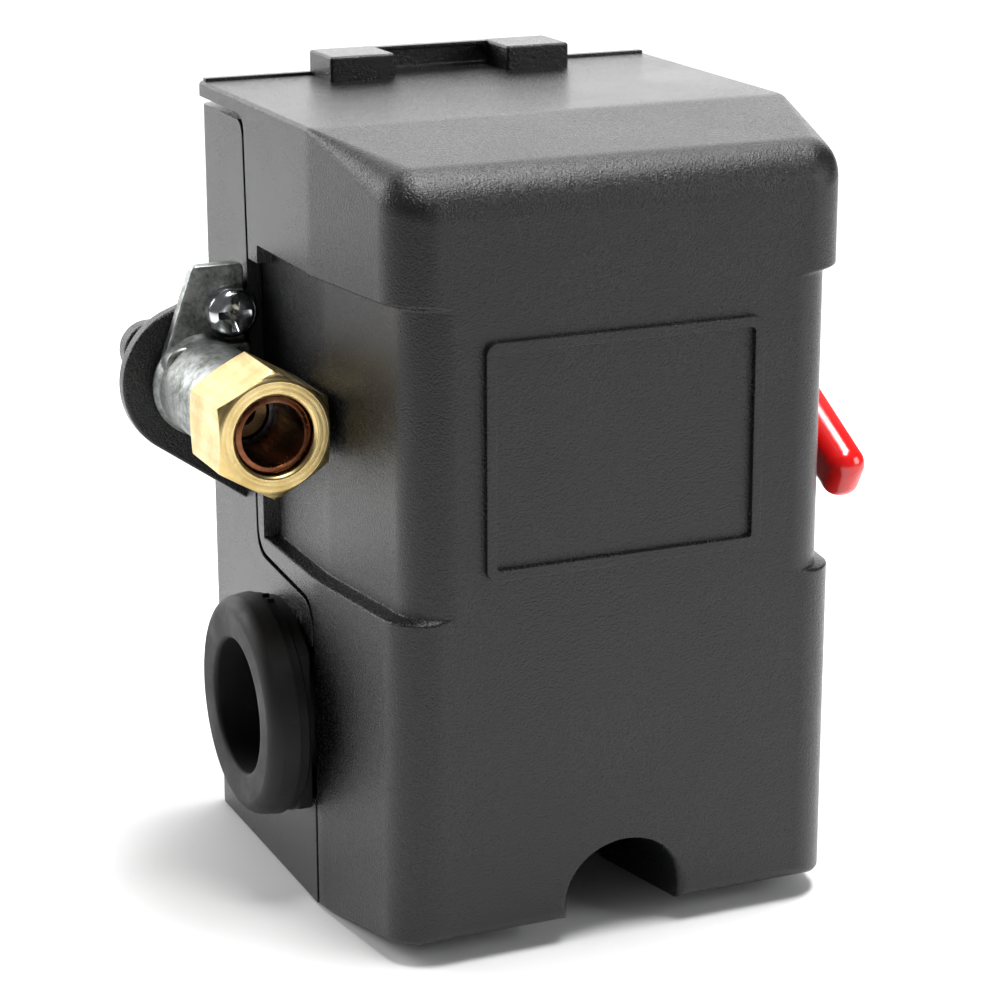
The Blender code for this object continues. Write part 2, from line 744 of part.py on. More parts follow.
def pressure_plate():
    low = FLANGE_TOP + 2 * GAP + DIAPHRAGM_THICK
    high = low + PLATE_DISC_HEIGHT
    top = ROCKER_WEB - GAP
    profile = [(0, low), (PLATE_DISC, low), (PLATE_DISC, high), (PLATE_STEM + 2.0, high)]
    profile += [(PLATE_STEM, high + 2.0), (PLATE_STEM, top - 0.8), (PLATE_STEM - 0.8, top), (0, top)]
    return piece("pressure_plate", turned(profile, "Z", 0, PORT_Y, 28), "white_nylon")


# ---------------------------------------------------------------- screws


def pan_screw(name, look, axis, across, up, seat, point, head=SCREW_HEAD, radius=SCREW_RADIUS):
    """A slotted pan-head screw whose head seats at one value on its axis and whose point is at another."""
    way = 1 if seat > point else -1
    low = seat + way * GAP
    top = low + way * SCREW_HEAD_HEIGHT
    profile = [
        (0, point),
        (radius - 0.4, point),
        (radius, point + way * 0.6),
        (radius, low),
        (head, low),
        (head, top - way * 0.8),
        (head - 0.9, top),
        (0, top),
    ]
    slot = sorted((top - way * SLOT_DEPTH, top + way * PAST))
    outline = round_rectangle((across, up), (2 * head + PAST, SLOT_WIDTH), 0)
    screw = cut(turned(profile, axis, across, up, 12), prism(outline, axis, *slot))
    return piece(name, screw, look)


def countersink(x, room):
    """The form of a countersunk screw from below, with room around it."""
    head, neck = SCREW_HEAD + 0.2 + room, SCREW_RADIUS + room
    low = GAP if not room else -PAST
    top = BASE_SCREW_END if not room else FLOOR + PAST
    rim = COUNTERSINK_RIM
    profile = [(0, low), (head, low), (head, rim), (neck, rim + head - neck), (neck, top), (0, top)]
    return turned(profile, "Z", x, PORT_Y, 24)


def base_screw(name, x):
    slot = round_rectangle((x, PORT_Y), (2 * SCREW_HEAD + PAST, SLOT_WIDTH), 0)
    return piece(name, cut(countersink(x, 0.0), prism(slot, "Z", -PAST, GAP + SLOT_DEPTH)), "zinc_plate")


# ---------------------------------------------------------------- chassis


def cheek(side):
    """One side plate of the chassis."""
    outline = [
        (CHASSIS_FRONT, CHASSIS_FLOOR),
        (CHASSIS_REAR, CHASSIS_FLOOR),
        (CHASSIS_REAR, YOKE_TOP),
        (COLUMN_FRONT, YOKE_TOP),
        (COLUMN_FRONT, CHEEK_HIGH),
        (CHEEK_STEP_Y, CHEEK_HIGH),
        (CHEEK_STEP_Y, CHEEK_STEP),
        (CHEEK_FRONT, CHEEK_STEP),
        (CHEEK_FRONT, CHEEK_LOW),
        (CHASSIS_FRONT, CHEEK_LOW),
    ]
    return prism(outline, "X", side * (CHASSIS_HALF - PLATE), side * CHASSIS_HALF)


def chassis_frame():
    inner = CHASSIS_HALF - PLATE / 2
    frame = block((-inner, inner), (CHASSIS_FRONT, CHASSIS_REAR), (CHASSIS_FLOOR, CHASSIS_FLOOR + PLATE))
    yoke = block((-inner, inner), (COLUMN_FRONT, CHASSIS_REAR), (YOKE_TOP - PLATE, YOKE_TOP))
    tabs = [
        block(
            sorted((side * inner, side * (CHASSIS_HALF + TAB_REACH))),
            (CHEEK_FRONT, CHEEK_FRONT + PLATE),
            (TAB_LOW, TAB_HIGH),
        )
        for side in (-1, 1)
    ]
    frame = joined(frame, cheek(-1), cheek(1), yoke, *tabs)
    wide = CHASSIS_HALF + PAST
    low, high = CHASSIS_FLOOR - PAST, CHASSIS_FLOOR + PLATE + PAST
    holes = [rod(PLATE_DISC + 0.7, "Z", 0, PORT_Y, low, high, 28)]
    holes += [rod(SCREW_HOLE, "Z", x, y, low, high, 12) for x, y in flange_screw_places()]
    holes += [rod(SCREW_HOLE, "Z", x, GROUND_Y, low, high, 12) for x in (-GROUND_X, GROUND_X)]
    holes.append(rod(PIN_HOLE, "X", ROCKER_PIVOT_Y, ROCKER_PIVOT_Z, -wide, wide, 20))
    holes.append(rod(PIN_HOLE, "X", CARRIER_PIVOT_Y, CARRIER_PIVOT_Z, -wide, wide, 20))
    holes.append(rod(SHAFT_RADIUS + GAP, "X", LEVER_Y, LEVER_Z, 0, wide, 24))
    for x, radius in ((RANGE_X, RANGE_SCREW), (DIFFERENTIAL_X, DIFFERENTIAL_SCREW)):
        holes.append(rod(radius + GAP, "Z", x, RANGE_Y, YOKE_TOP - PAST, YOKE_TOP + PAST, 20))
    for x in (-BLOCK_SCREW_X, BLOCK_SCREW_X):
        holes.append(rod(SCREW_HOLE, "Y", x, BLOCK_MIDDLE, CHEEK_FRONT - PAST, CHASSIS_FRONT, 12))
    window = block(
        (-wide, 0),
        (ARM_FRONT - 2.5, DEPTH),
        (ARM_Z - ARM_RADIUS - 3.0, ARM_Z + ARM_RADIUS + 4.0),
    )
    return piece("chassis_frame", cut(frame, window, *holes), "zinc_plate")


def pivot_pin(name, y, z):
    reach = CHASSIS_HALF + PIN_PROUD
    profile = [(0, -reach), (PIN_RADIUS - 0.4, -reach), (PIN_RADIUS, 0.4 - reach)]
    profile += [(PIN_RADIUS, reach - 0.4), (PIN_RADIUS - 0.4, reach), (0, reach)]
    return piece(name, turned(profile, "X", y, z, 20), "bright_steel", (0, y, z))


# ---------------------------------------------------------------- rocker and springs


def rocker_lever():
    """The channel-shaped main lever on its front pivot, pushed up by the pressure plate."""
    web_half = ROCKER_HALF - PLATE / 2
    web = block(
        (-web_half, web_half),
        (ROCKER_FRONT, ROCKER_REAR),
        (ROCKER_WEB, ROCKER_WEB + ROCKER_WEB_THICK),
    )
    outline = [(ROCKER_FRONT, ROCKER_WEB), (ROCKER_REAR, ROCKER_WEB), (ROCKER_REAR, ROCKER_TOP - 3.0)]
    outline += [(ROCKER_REAR - 5.0, ROCKER_TOP), (ROCKER_FRONT, ROCKER_TOP)]
    sides = [prism(outline, "X", side * (ROCKER_HALF - PLATE), side * ROCKER_HALF) for side in (-1, 1)]
    hole = rod(PIN_HOLE, "X", ROCKER_PIVOT_Y, ROCKER_PIVOT_Z, -CHASSIS_HALF, CHASSIS_HALF, 20)
    lever = cut(joined(web, *sides), hole)
    return piece("rocker_lever", lever, "zinc_plate", (0, ROCKER_PIVOT_Y, ROCKER_PIVOT_Z))


def unloader_arm():
    """The arm on the rocker's left side that reaches out of the case behind the valve's pin."""
    strip_x = (-ROCKER_HALF - GAP - ARM_STRIP, -ROCKER_HALF - GAP)
    strip = block(strip_x, (ARM_FRONT, ARM_FRONT + ARM_THICK), (ROCKER_WEB + 1.5, ARM_Z + ARM_RADIUS - 0.6))
    start = strip_x[1] - BITE
    outline = [(start, ARM_Z - ARM_RADIUS + 1.2), (start, ARM_Z + ARM_RADIUS)]
    outline += arc((ARM_TIP, ARM_Z), ARM_RADIUS, 90, 270, 14)
    bar = prism(outline, "Y", ARM_FRONT + 0.1, ARM_FRONT + ARM_THICK - 0.1)
    pivot = (0, ROCKER_PIVOT_Y, ROCKER_PIVOT_Z)
    return piece("unloader_arm", joined(strip, bar), "black_plastic", pivot)


def adjuster(name, x, screw, seat, round_coil, wire, turns):
    """An adjusting screw in the yoke, the square seat on its thread and the spring below the seat."""
    top = YOKE_TOP + GAP
    head = ADJUSTER_HEAD if screw > 2 else ADJUSTER_HEAD - 1.0
    shank = rod(screw, "Z", x, RANGE_Y, YOKE_TOP - SCREW_TAIL, top + BITE, 24)
    cap = prism(hexagon((x, RANGE_Y), 2 * head), "Z", top, top + 3.4)
    slot = round_rectangle((x, RANGE_Y), (2 * head + PAST, SLOT_WIDTH), 0)
    bolt = cut(joined(shank, cap), prism(slot, "Z", top + 3.4 - SLOT_DEPTH, top + 3.4 + PAST))
    piece(name + "_screw", bolt, "zinc_plate", (x, RANGE_Y, YOKE_TOP))
    high = YOKE_TOP - SEAT_DROP
    plate = prism(round_rectangle((x, RANGE_Y), (2 * seat, 2 * seat), 1.0), "Z", high - SEAT_THICK, high)
    bore = rod(screw + GAP, "Z", x, RANGE_Y, high - SEAT_THICK - PAST, high + PAST, 24)
    piece(name + "_seat", cut(plate, bore), "zinc_plate", (x, RANGE_Y, high))
    end = high - SEAT_THICK - GAP
    wound = coil("Z", x, RANGE_Y, round_coil, wire, SEAT_Z, end, turns)
    piece(name + "_spring", wound, "spring_steel", (x, RANGE_Y, SEAT_Z))


# ---------------------------------------------------------------- contacts


def terminal_places():
    return [TERMINAL_PITCH * (index - 1.5) for index in range(4)]


def terminal_block():
    reach = CHASSIS_HALF + TAB_REACH
    body = block((-reach, reach), (BLOCK_FRONT, CHEEK_FRONT - GAP), (BLOCK_LOW, BLOCK_HIGH))
    depth = (BLOCK_FRONT - 2.2, CHEEK_FRONT - 2.0)
    height = (BLOCK_LOW + 1.0, BLOCK_HIGH + 2.2)
    between = (-TERMINAL_PITCH, 0.0, TERMINAL_PITCH)
    ribs = [block((x - RIB_HALF, x + RIB_HALF), depth, height) for x in between]
    holes = []
    for x in (-BLOCK_SCREW_X, BLOCK_SCREW_X):
        holes.append(rod(SCREW_HOLE, "Y", x, BLOCK_MIDDLE, BLOCK_FRONT - PAST, CHEEK_FRONT + PAST, 12))
    end = TERMINAL_SCREW_END + 0.5
    for x in terminal_places():
        holes.append(rod(SCREW_HOLE, "Y", x, TERMINAL_SCREW_Z, BLOCK_FRONT - PAST, end, 12))
    return piece("terminal_block", cut(joined(body, *ribs), *holes), "phenolic")


def terminal(number, x):
    """An angle strip: a clamping face to the front and a fixed contact on top."""
    half = TERMINAL_WIDTH / 2
    front = (BLOCK_FRONT - GAP - TERMINAL_THICK, BLOCK_FRONT - GAP)
    top = (BLOCK_HIGH + GAP, BLOCK_HIGH + GAP + TERMINAL_THICK)
    strip = block((x - half, x + half), front, (BLOCK_LOW + 1.0, top[1]))
    shelf = block((x - half, x + half), (front[0] + 0.4, CONTACT_Y + 3.5), (top[0], top[1] - 0.05))
    button = rod(CONTACT_RADIUS, "Z", x, CONTACT_Y, top[0] + 0.4, top[1] + CONTACT_RISE, 20)
    hole = rod(SCREW_HOLE, "Y", x, TERMINAL_SCREW_Z, front[0] - PAST, front[1] + 0.1, 12)
    return piece(f"terminal_{number}", joined(cut(strip, hole), shelf, button), "brass")


def contact_carrier():
    high = CARRIER_LOW + CARRIER_THICK
    front = CONTACT_Y - BAR_WIDTH / 2
    board = block((-CARRIER_HALF, CARRIER_HALF), (front, CARRIER_PIVOT_Y), (CARRIER_LOW, high))
    tail = block((-5.0, 5.0), (CARRIER_PIVOT_Y, SNAP_Y + SNAP_COIL + 0.8), (CARRIER_LOW, high))
    reach = CARRIER_HALF - 0.4
    barrel = rod(CARRIER_BARREL, "X", CARRIER_PIVOT_Y, CARRIER_PIVOT_Z, -reach, reach, 24)
    hole = rod(PIN_HOLE, "X", CARRIER_PIVOT_Y, CARRIER_PIVOT_Z, -CHASSIS_HALF, CHASSIS_HALF, 20)
    window = block((-2.5, 2.5), (front - PAST, CARRIER_PIVOT_Y - 8.0), (CARRIER_LOW - PAST, high + PAST))
    made = cut(joined(board, tail, barrel), hole, window)
    return piece("contact_carrier", made, "white_nylon", (0, CARRIER_PIVOT_Y, CARRIER_PIVOT_Z))


def moving_contact(name, side):
    """A bridging bar with two contact buttons below it and a rivet stub above it."""
    low = BLOCK_HIGH + 2 * GAP + TERMINAL_THICK + 2 * CONTACT_RISE
    middle = side * TERMINAL_PITCH
    reach = TERMINAL_PITCH / 2 + CONTACT_RADIUS + 0.8
    outline = round_rectangle((middle, CONTACT_Y), (2 * reach, BAR_WIDTH), 1.4)
    bar = prism(outline, "Z", low, low + BAR_THICK)
    buttons = [
        rod(CONTACT_RADIUS, "Z", middle + offset, CONTACT_Y, low - CONTACT_RISE, low + BAR_THICK / 2, 20)
        for offset in (-TERMINAL_PITCH / 2, TERMINAL_PITCH / 2)
    ]
    stub = rod(1.5, "Z", middle, CONTACT_Y, low + BAR_THICK / 2, CARRIER_LOW - GAP, 12)
    pivot = (0, CARRIER_PIVOT_Y, CARRIER_PIVOT_Z)
    return piece(name, joined(bar, *buttons, stub), "copper", pivot)


# ---------------------------------------------------------------- auto/off lever


def off_lever():
    """The shaft through the right wall, the cam on its inner end and the flat arm with its grip outside."""
    pivot = (LEVER_X, LEVER_Y, LEVER_Z)
    cam_end = CHASSIS_HALF - PLATE - 1.0
    cam_x = (cam_end - CAM_THICK, cam_end)
    outer = LEVER_X + LEVER_THICK
    under = outer + GAP
    profile = [
        (0, cam_x[0] - 0.5),
        (SHAFT_RADIUS, cam_x[0] - 0.5),
        (SHAFT_RADIUS, LEVER_X - GAP),
        (SHAFT_NECK, LEVER_X - GAP),
        (SHAFT_NECK, under),
        (SHAFT_HEAD, under),
        (SHAFT_HEAD, under + 0.5),
        (SHAFT_HEAD - 1.2, under + 1.3),
        (0, under + 1.3),
    ]
    piece("lever_shaft", turned(profile, "X", LEVER_Y, LEVER_Z, 24), "zinc_plate", pivot)

    lobe = [
        (LEVER_Y - 2.0, LEVER_Z),
        (LEVER_Y - 1.4, LEVER_Z - CAM_REACH),
        (LEVER_Y + 1.4, LEVER_Z - CAM_REACH),
        (LEVER_Y + 2.0, LEVER_Z),
    ]
    cam = rod(CAM_RADIUS, "X", LEVER_Y, LEVER_Z, cam_x[0], cam_x[1], 24)
    cam = joined(cam, prism(lobe, "X", cam_x[0] + 0.6, cam_x[1] - 0.6))
    cam = cut(cam, rod(SHAFT_RADIUS + GAP, "X", LEVER_Y, LEVER_Z, 0, HALF, 24))
    piece("off_cam", cam, "white_nylon", pivot)

    span = (LEVER_X, outer)
    hub = rod(LEVER_HUB, "X", LEVER_Y, LEVER_Z, span[0], span[1], 28)
    tip = LEVER_Y - LEVER_LENGTH
    bar = prism(
        rounded(
            [
                (tip, LEVER_Z - LEVER_HALF, LEVER_HALF - 0.4),
                (LEVER_Y, LEVER_Z - LEVER_HALF, 0),
                (LEVER_Y, LEVER_Z + LEVER_HALF, 0),
                (tip, LEVER_Z + LEVER_HALF, LEVER_HALF - 0.4),
            ]
        ),
        "X",
        span[0] + 0.05,
        span[1] - 0.05,
    )
    arm = cut(joined(hub, bar), rod(SHAFT_NECK + GAP, "X", LEVER_Y, LEVER_Z, 0, 2 * HALF, 20))
    piece("lever_arm", arm, "zinc_plate", pivot, LEVER_SLOPE)

    front, rear = tip - GRIP_WALL - GAP, tip - GRIP_WALL - GAP + GRIP_LENGTH
    sleeve = block(
        (span[0] - GAP - GRIP_WALL, span[1] + GAP + GRIP_WALL),
        (front, rear),
        (LEVER_Z - GRIP_HALF, LEVER_Z + GRIP_HALF),
    )
    sleeve = softened(sleeve, 2.2, 4)
    pocket = block(
        (span[0] - GAP, span[1] + GAP),
        (tip - GAP, rear + PAST),
        (LEVER_Z - LEVER_HALF - GAP, LEVER_Z + LEVER_HALF + GAP),
    )
    piece("lever_grip", cut(sleeve, pocket), "red_vinyl", pivot, LEVER_SLOPE)


# ---------------------------------------------------------------- unloader valve


def unloader_body():
    inner = -HALF - GAP
    top = EAR_SCREW_Z + 5.2
    ear = [
        (inner, VALVE_Z - VALVE_RADIUS - 0.8),
        (inner, top),
        (VALVE_X - 1.0, top),
        (VALVE_X - 5.2, VALVE_Z + 3.5),
        (VALVE_X - 5.2, VALVE_Z - 2.0),
        (VALVE_X, VALVE_Z - VALVE_RADIUS - 0.8),
    ]
    rear = EAR_FRONT + EAR_THICK
    neck = NUT_FRONT + NUT_LENGTH + GAP
    start = NUT_SHOULDER + 1.0
    barrel = [
        (0, start),
        (THREAD_RADIUS - 0.5, start),
        (THREAD_RADIUS, start + 0.5),
        (THREAD_RADIUS, neck),
        (VALVE_RADIUS, neck),
        (VALVE_RADIUS, rear - 0.4),
        (0, rear - 0.4),
    ]
    body = joined(prism(ear, "Y", EAR_FRONT, rear), turned(barrel, "Y", VALVE_X, VALVE_Z, 32))
    clip = block((inner, inner + 4 * PAST), (neck - 1.0, rear + PAST), (0, HEIGHT))
    socket, pin = SLEEVE_RADIUS + GAP, VALVE_PIN + GAP
    bore = [
        (0, NUT_FRONT),
        (socket, NUT_FRONT),
        (socket, neck),
        (CHAMBER, neck),
        (CHAMBER, VALVE_SEAT_Y),
        (pin, VALVE_SEAT_Y),
        (pin, rear + PAST),
        (0, rear + PAST),
    ]
    hole = rod(SCREW_HOLE, "Y", EAR_SCREW_X, EAR_SCREW_Z, EAR_FRONT - PAST, rear + PAST, 20)
    return piece("unloader_body", cut(body, clip, turned(bore, "Y", VALVE_X, VALVE_Z, 28), hole), "die_cast")


def unloader_screw():
    """The cross-recess pan-head screw through the valve's ear."""
    seat = EAR_FRONT - GAP
    crown = seat - 2.6
    profile = [
        (0, BOSS_REAR),
        (SCREW_RADIUS, BOSS_REAR),
        (SCREW_RADIUS, seat),
        (EAR_SCREW_HEAD, seat),
        (EAR_SCREW_HEAD, seat - 1.0),
        (EAR_SCREW_HEAD - 0.35, seat - 1.7),
        (EAR_SCREW_HEAD - 1.2, crown + 0.3),
        (1.0, crown),
        (0, crown),
    ]
    screw = turned(profile, "Y", EAR_SCREW_X, EAR_SCREW_Z, 28)
    middle = (EAR_SCREW_X, EAR_SCREW_Z)
    arms = []
    for size in ((CROSS_LENGTH, CROSS_WIDTH), (CROSS_WIDTH, CROSS_LENGTH)):
        arms.append(prism(round_rectangle(middle, size, 0), "Y", crown - PAST, crown + 1.5))
    return piece("unloader_screw", cut(screw, *arms), "bright_steel")


def unloader_inside():
    """The pin, the seal that it lifts, the spring and the retainer that holds the spring."""
    back = ARM_FRONT - GAP
    profile = [
        (0, VALVE_SEAT_Y),
        (VALVE_PIN, VALVE_SEAT_Y),
        (VALVE_PIN, back - 0.4),
        (VALVE_PIN - 0.4, back),
        (0, back),
    ]
    pin = turned(profile, "Y", VALVE_X, VALVE_Z, 12)
    piece("unloader_pin", pin, "bright_steel", (VALVE_X, back, VALVE_Z))
    seal_rear = VALVE_SEAT_Y - GAP
    seal_front = seal_rear - SEAL_THICK
    seal = rod(CHAMBER - GAP, "Y", VALVE_X, VALVE_Z, seal_front, seal_rear, 24)
    piece("unloader_seal", seal, "black_rubber", (VALVE_X, seal_rear, VALVE_Z))
    front = NUT_FRONT + NUT_LENGTH + 2 * GAP
    outer = CHAMBER - GAP
    retainer = ring(outer, outer - 1.4, "Y", VALVE_X, VALVE_Z, front, front + RETAINER_THICK, 24)
    piece("spring_retainer", retainer, "brass")
    start, end = front + RETAINER_THICK + GAP, seal_front - GAP
    wound = coil("Y", VALVE_X, VALVE_Z, UNLOADER_COIL, UNLOADER_WIRE, start, end, UNLOADER_TURNS)
    piece("unloader_spring", wound, "spring_steel", (VALVE_X, start, VALVE_Z))


def tube_nut():
    rear = NUT_FRONT + NUT_LENGTH
    point = NUT_FLATS / math.sqrt(3)
    face = NUT_FLATS / 2 - 0.2
    drop = (point + 0.2 - face) * math.tan(math.radians(30))
    turned_form = [(0, NUT_FRONT), (face, NUT_FRONT), (point + 0.2, NUT_FRONT + drop)]
    turned_form += [(point + 0.2, rear - drop), (face, rear), (0, rear)]
    nut = prism(hexagon((VALVE_X, VALVE_Z), NUT_FLATS), "Y", NUT_FRONT - 1.0, rear + 1.0)
    nut = common(nut, turned(turned_form, "Y", VALVE_X, VALVE_Z, 48))
    wide = THREAD_RADIUS + GAP
    bore = [
        (0, NUT_FRONT - PAST),
        (NUT_BORE, NUT_FRONT - PAST),
        (NUT_BORE, NUT_SHOULDER),
        (wide, NUT_SHOULDER + 0.7),
        (wide, rear + PAST),
        (0, rear + PAST),
    ]
    return piece("tube_nut", cut(nut, turned(bore, "Y", VALVE_X, VALVE_Z, 40)), "brass")


def tube_sleeve():
    front, rear = NUT_FRONT + 1.4, NUT_FRONT + NUT_LENGTH
    inner = SLEEVE_RADIUS - SLEEVE_WALL
    profile = [(inner, front), (SLEEVE_RADIUS - 0.3, front), (SLEEVE_RADIUS, front + 0.3)]
    profile += [(SLEEVE_RADIUS, rear), (inner, rear)]
    return piece("tube_sleeve", turned(profile, "Y", VALVE_X, VALVE_Z, 36), "copper")


# ---------------------------------------------------------------- assembly


def build():
    for item in list(bpy.data.objects):
        bpy.data.objects.remove(item, do_unlink=True)
    assembly = bpy.data.objects.new("assembly", None)
    assembly.location = -Vector(ORIGIN) * MM
    bpy.context.scene.collection.objects.link(assembly)

    piece("rear_base", rear_base(), "black_plastic")
    piece("front_cover", front_cover(), "black_plastic")
    grommet(-1)
    grommet(1)

    port_flange()
    diaphragm()
    pressure_plate()
    chassis_frame()
    seat = CHASSIS_FLOOR + PLATE
    for number, (x, y) in enumerate(flange_screw_places(), 1):
        pan_screw(f"flange_screw_{number}", "zinc_plate", "Z", x, y, seat, FLANGE_SCREW_END)
    base_screw("base_screw_left", -BASE_SCREW_X)
    base_screw("base_screw_right", BASE_SCREW_X)
    pan_screw("ground_screw_left", "green_screw", "Z", -GROUND_X, GROUND_Y, seat, CHASSIS_FLOOR)
    pan_screw("ground_screw_right", "green_screw", "Z", GROUND_X, GROUND_Y, seat, CHASSIS_FLOOR)

    rocker_lever()
    pivot_pin("rocker_pin", ROCKER_PIVOT_Y, ROCKER_PIVOT_Z)
    unloader_arm()
    adjuster("range", RANGE_X, RANGE_SCREW, RANGE_SEAT, RANGE_COIL, RANGE_WIRE, RANGE_TURNS)
    adjuster(
        "differential",
        DIFFERENTIAL_X,
        DIFFERENTIAL_SCREW,
        DIFFERENTIAL_SEAT,
        DIFFERENTIAL_COIL,
        DIFFERENTIAL_WIRE,
        DIFFERENTIAL_TURNS,
    )

    terminal_block()
    point = CHEEK_FRONT + PLATE + 1.5
    head = SCREW_HEAD - 0.6
    for name, x in (("block_screw_left", -BLOCK_SCREW_X), ("block_screw_right", BLOCK_SCREW_X)):
        pan_screw(name, "zinc_plate", "Y", x, BLOCK_MIDDLE, BLOCK_FRONT, point, head)
    seat = BLOCK_FRONT - GAP - TERMINAL_THICK
    for number, x in enumerate(terminal_places(), 1):
        name = f"terminal_screw_{number}"
        terminal(number, x)
        pan_screw(name, "zinc_plate", "Y", x, TERMINAL_SCREW_Z, seat, TERMINAL_SCREW_END)
    contact_carrier()
    pivot_pin("carrier_pin", CARRIER_PIVOT_Y, CARRIER_PIVOT_Z)
    moving_contact("moving_contact_left", -1)
    moving_contact("moving_contact_right", 1)
    snap = coil("Z", 0, SNAP_Y, SNAP_COIL, SNAP_WIRE, SEAT_Z, CARRIER_LOW - GAP, SNAP_TURNS)
    piece("snap_spring", snap, "spring_steel", (0, SNAP_Y, SEAT_Z))

    off_lever()

    unloader_body()
    unloader_screw()
    unloader_inside()
    tube_sleeve()
    tube_nut()


build()
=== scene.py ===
"""Looks of the air compressor pressure switch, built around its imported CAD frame.

Lengths are in millimetres in the case frame, as in the CAD source: x is zero on the middle of the case,
y on its front face and z on the underside of its base. placed() turns a shape of that frame into metres in
the row's frame.
"""

import json
import math

import bmesh
import bpy
from mathutils import Matrix, Vector


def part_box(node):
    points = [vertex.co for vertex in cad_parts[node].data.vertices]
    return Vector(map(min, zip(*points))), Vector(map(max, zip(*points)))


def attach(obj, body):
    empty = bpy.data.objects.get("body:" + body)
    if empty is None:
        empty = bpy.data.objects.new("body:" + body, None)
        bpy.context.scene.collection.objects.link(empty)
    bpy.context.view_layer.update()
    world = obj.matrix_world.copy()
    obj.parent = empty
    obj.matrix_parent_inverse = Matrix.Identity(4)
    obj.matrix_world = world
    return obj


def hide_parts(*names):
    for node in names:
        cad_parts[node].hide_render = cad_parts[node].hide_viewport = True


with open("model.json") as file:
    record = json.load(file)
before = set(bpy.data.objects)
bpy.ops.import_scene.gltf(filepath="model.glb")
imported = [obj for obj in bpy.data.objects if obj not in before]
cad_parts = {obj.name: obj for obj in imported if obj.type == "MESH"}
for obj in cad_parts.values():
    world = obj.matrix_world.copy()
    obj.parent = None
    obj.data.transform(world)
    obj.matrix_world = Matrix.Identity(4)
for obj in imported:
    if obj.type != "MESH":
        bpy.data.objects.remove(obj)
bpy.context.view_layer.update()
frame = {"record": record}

MM = 0.001
PAST = 3.0  # how far a cutter runs past the wall that it cuts
BITE = 0.6  # how deep a joined shape reaches into its neighbour
GAP = 0.3

# Places and sizes taken from the frame
COVER_LOW, COVER_HIGH = (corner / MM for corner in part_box("front_cover"))
BASE_LOW, BASE_HIGH = (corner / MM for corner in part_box("rear_base"))
PANEL_PROUD = 0.7
LOOP_RISE = 3.2
MIDDLE = (COVER_LOW.x + COVER_HIGH.x) / 2
DEPTH = COVER_HIGH.y - COVER_LOW.y - PANEL_PROUD
HEIGHT = COVER_HIGH.z - LOOP_RISE
HALF = (COVER_HIGH.x - COVER_LOW.x) / 2
SHIFT = Vector((MIDDLE, COVER_HIGH.y - DEPTH, 0.0))

# Case
WALL = 2.2
FLOOR = 2.4
CREASE = 22.0
CREASE_SOFT = 1.0
SIDE_DRAW = 2.75
END_DRAW = 3.1
FRONT_RADIUS = 5.2
REAR_RADIUS = 2.0
BOTTOM_RADIUS = 1.5
CORNER_RADIUS = 0.6
WAIST_DEPTH = 1.8
WAIST_LOW = 44.2
WAIST_HIGH = HEIGHT - 18.0
STEP_RISE = 0.5
RIM_WIDTH = 3.3
SPLIT_LOW = DEPTH - 39.4
SPLIT_MID = DEPTH - 19.4
SPLIT_TOP = DEPTH - 17.3
STEP_FRONT = 40.8
STEP_REAR = 42.1
STEP_RADIUS = 3.2
PARTING_GAP = 0.7
LIP = 2.0
LIP_RADIUS = 2.0
BASE_TOP = BASE_HIGH.z
EDGE = 0.22  # rounding of the moulded edges
LARGE_EDGE = 0.4  # rounding of the blocks and of the lug

PANEL_SIZE = (36.4, 28.9)
PANEL_MIDDLE = (-0.6, (WAIST_LOW + WAIST_HIGH) / 2)
PANEL_RIM = 1.3
PANEL_RADIUS = 1.4
PANEL_INSIDE_RADIUS = 0.5
PANEL_EDGE = 0.16
LOOP_INNER = 7.9
LOOP_BLOCK = 9.0
LOOP_DEPTH = 8.5
LOOP_BAR = 1.8
LOOP_INSET = 0.35  # how far the blocks stop short of the lip's rear edge
RECESS_DEPTH = 0.35
RECESS_SILL = 0.45
RECESS_HEAD = 0.55
BEAD_RISE = 0.4
NOTCH_RADIUS = 7.6
NOTCH_Z = 12.7 - NOTCH_RADIUS
NOTCH_WALL = 1.8
NOTCH_FLARE = 1.3
PORT_Y = DEPTH - 19.5
PORT_HEX = 11.0
BASE_SCREW_X = (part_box("base_screw_right")[0].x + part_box("base_screw_right")[1].x) / 2 / MM - MIDDLE
COUNTERSINK = 3.5
COUNTERSINK_RIM = 0.6

# Pieces on the sides
GROMMET_Y = DEPTH - 28.8
GROMMET_Z = 24.5
GROMMET_BORE = 8.7
GROMMET_NECK = 9.9
GROMMET_FLANGE = 14.35
GROMMET_PROUD = 7.1
GROMMET_LIP = 2.2
GROMMET_HOLD = 2.5  # how far its inner lip reaches past the neck
FLANGE_ROUND = 2.1
BORE_ROUND = 0.7
COLLAR_DEPTH = 2.0
NIB_RADIUS = 0.42
NIB_ANGLES = (88, 96, -84, -92)
NUT_FLATS = 14.0
NUT_FRONT = DEPTH - 44.1
NUT_REAR = NUT_FRONT + 11.6
NUT_BORE = 4.95
THREAD_RADIUS = 5.7
SLEEVE_RADIUS = 4.8
SLEEVE_WALL = 0.85
SLEEVE_BACK = 0.8  # how far the sleeve stands back from the nut's face
VALVE_RADIUS = 6.2
VALVE_X = -(HALF - WAIST_DEPTH + 0.8 + NUT_FLATS / 2)
VALVE_Z = HEIGHT - 36.1
EAR_FRONT = DEPTH - 16.9
EAR_REAR = EAR_FRONT + 1.9
EAR_SCREW = (-(HALF + 2.5), VALVE_Z + 9.4)
EAR_HEAD = 3.25
EAR_OVER = 6.0
VALVE_FOOT = 0.8  # how far the ear reaches below the barrel
VALVE_CHAMBER = 3.4
VALVE_PIN_HOLE = 1.5
VALVE_ROOM = 2.0  # room for the valve in the cover's side, up and down
LUG_FRONT = EAR_REAR + GAP
LUG_REAR = LUG_FRONT + 2.2
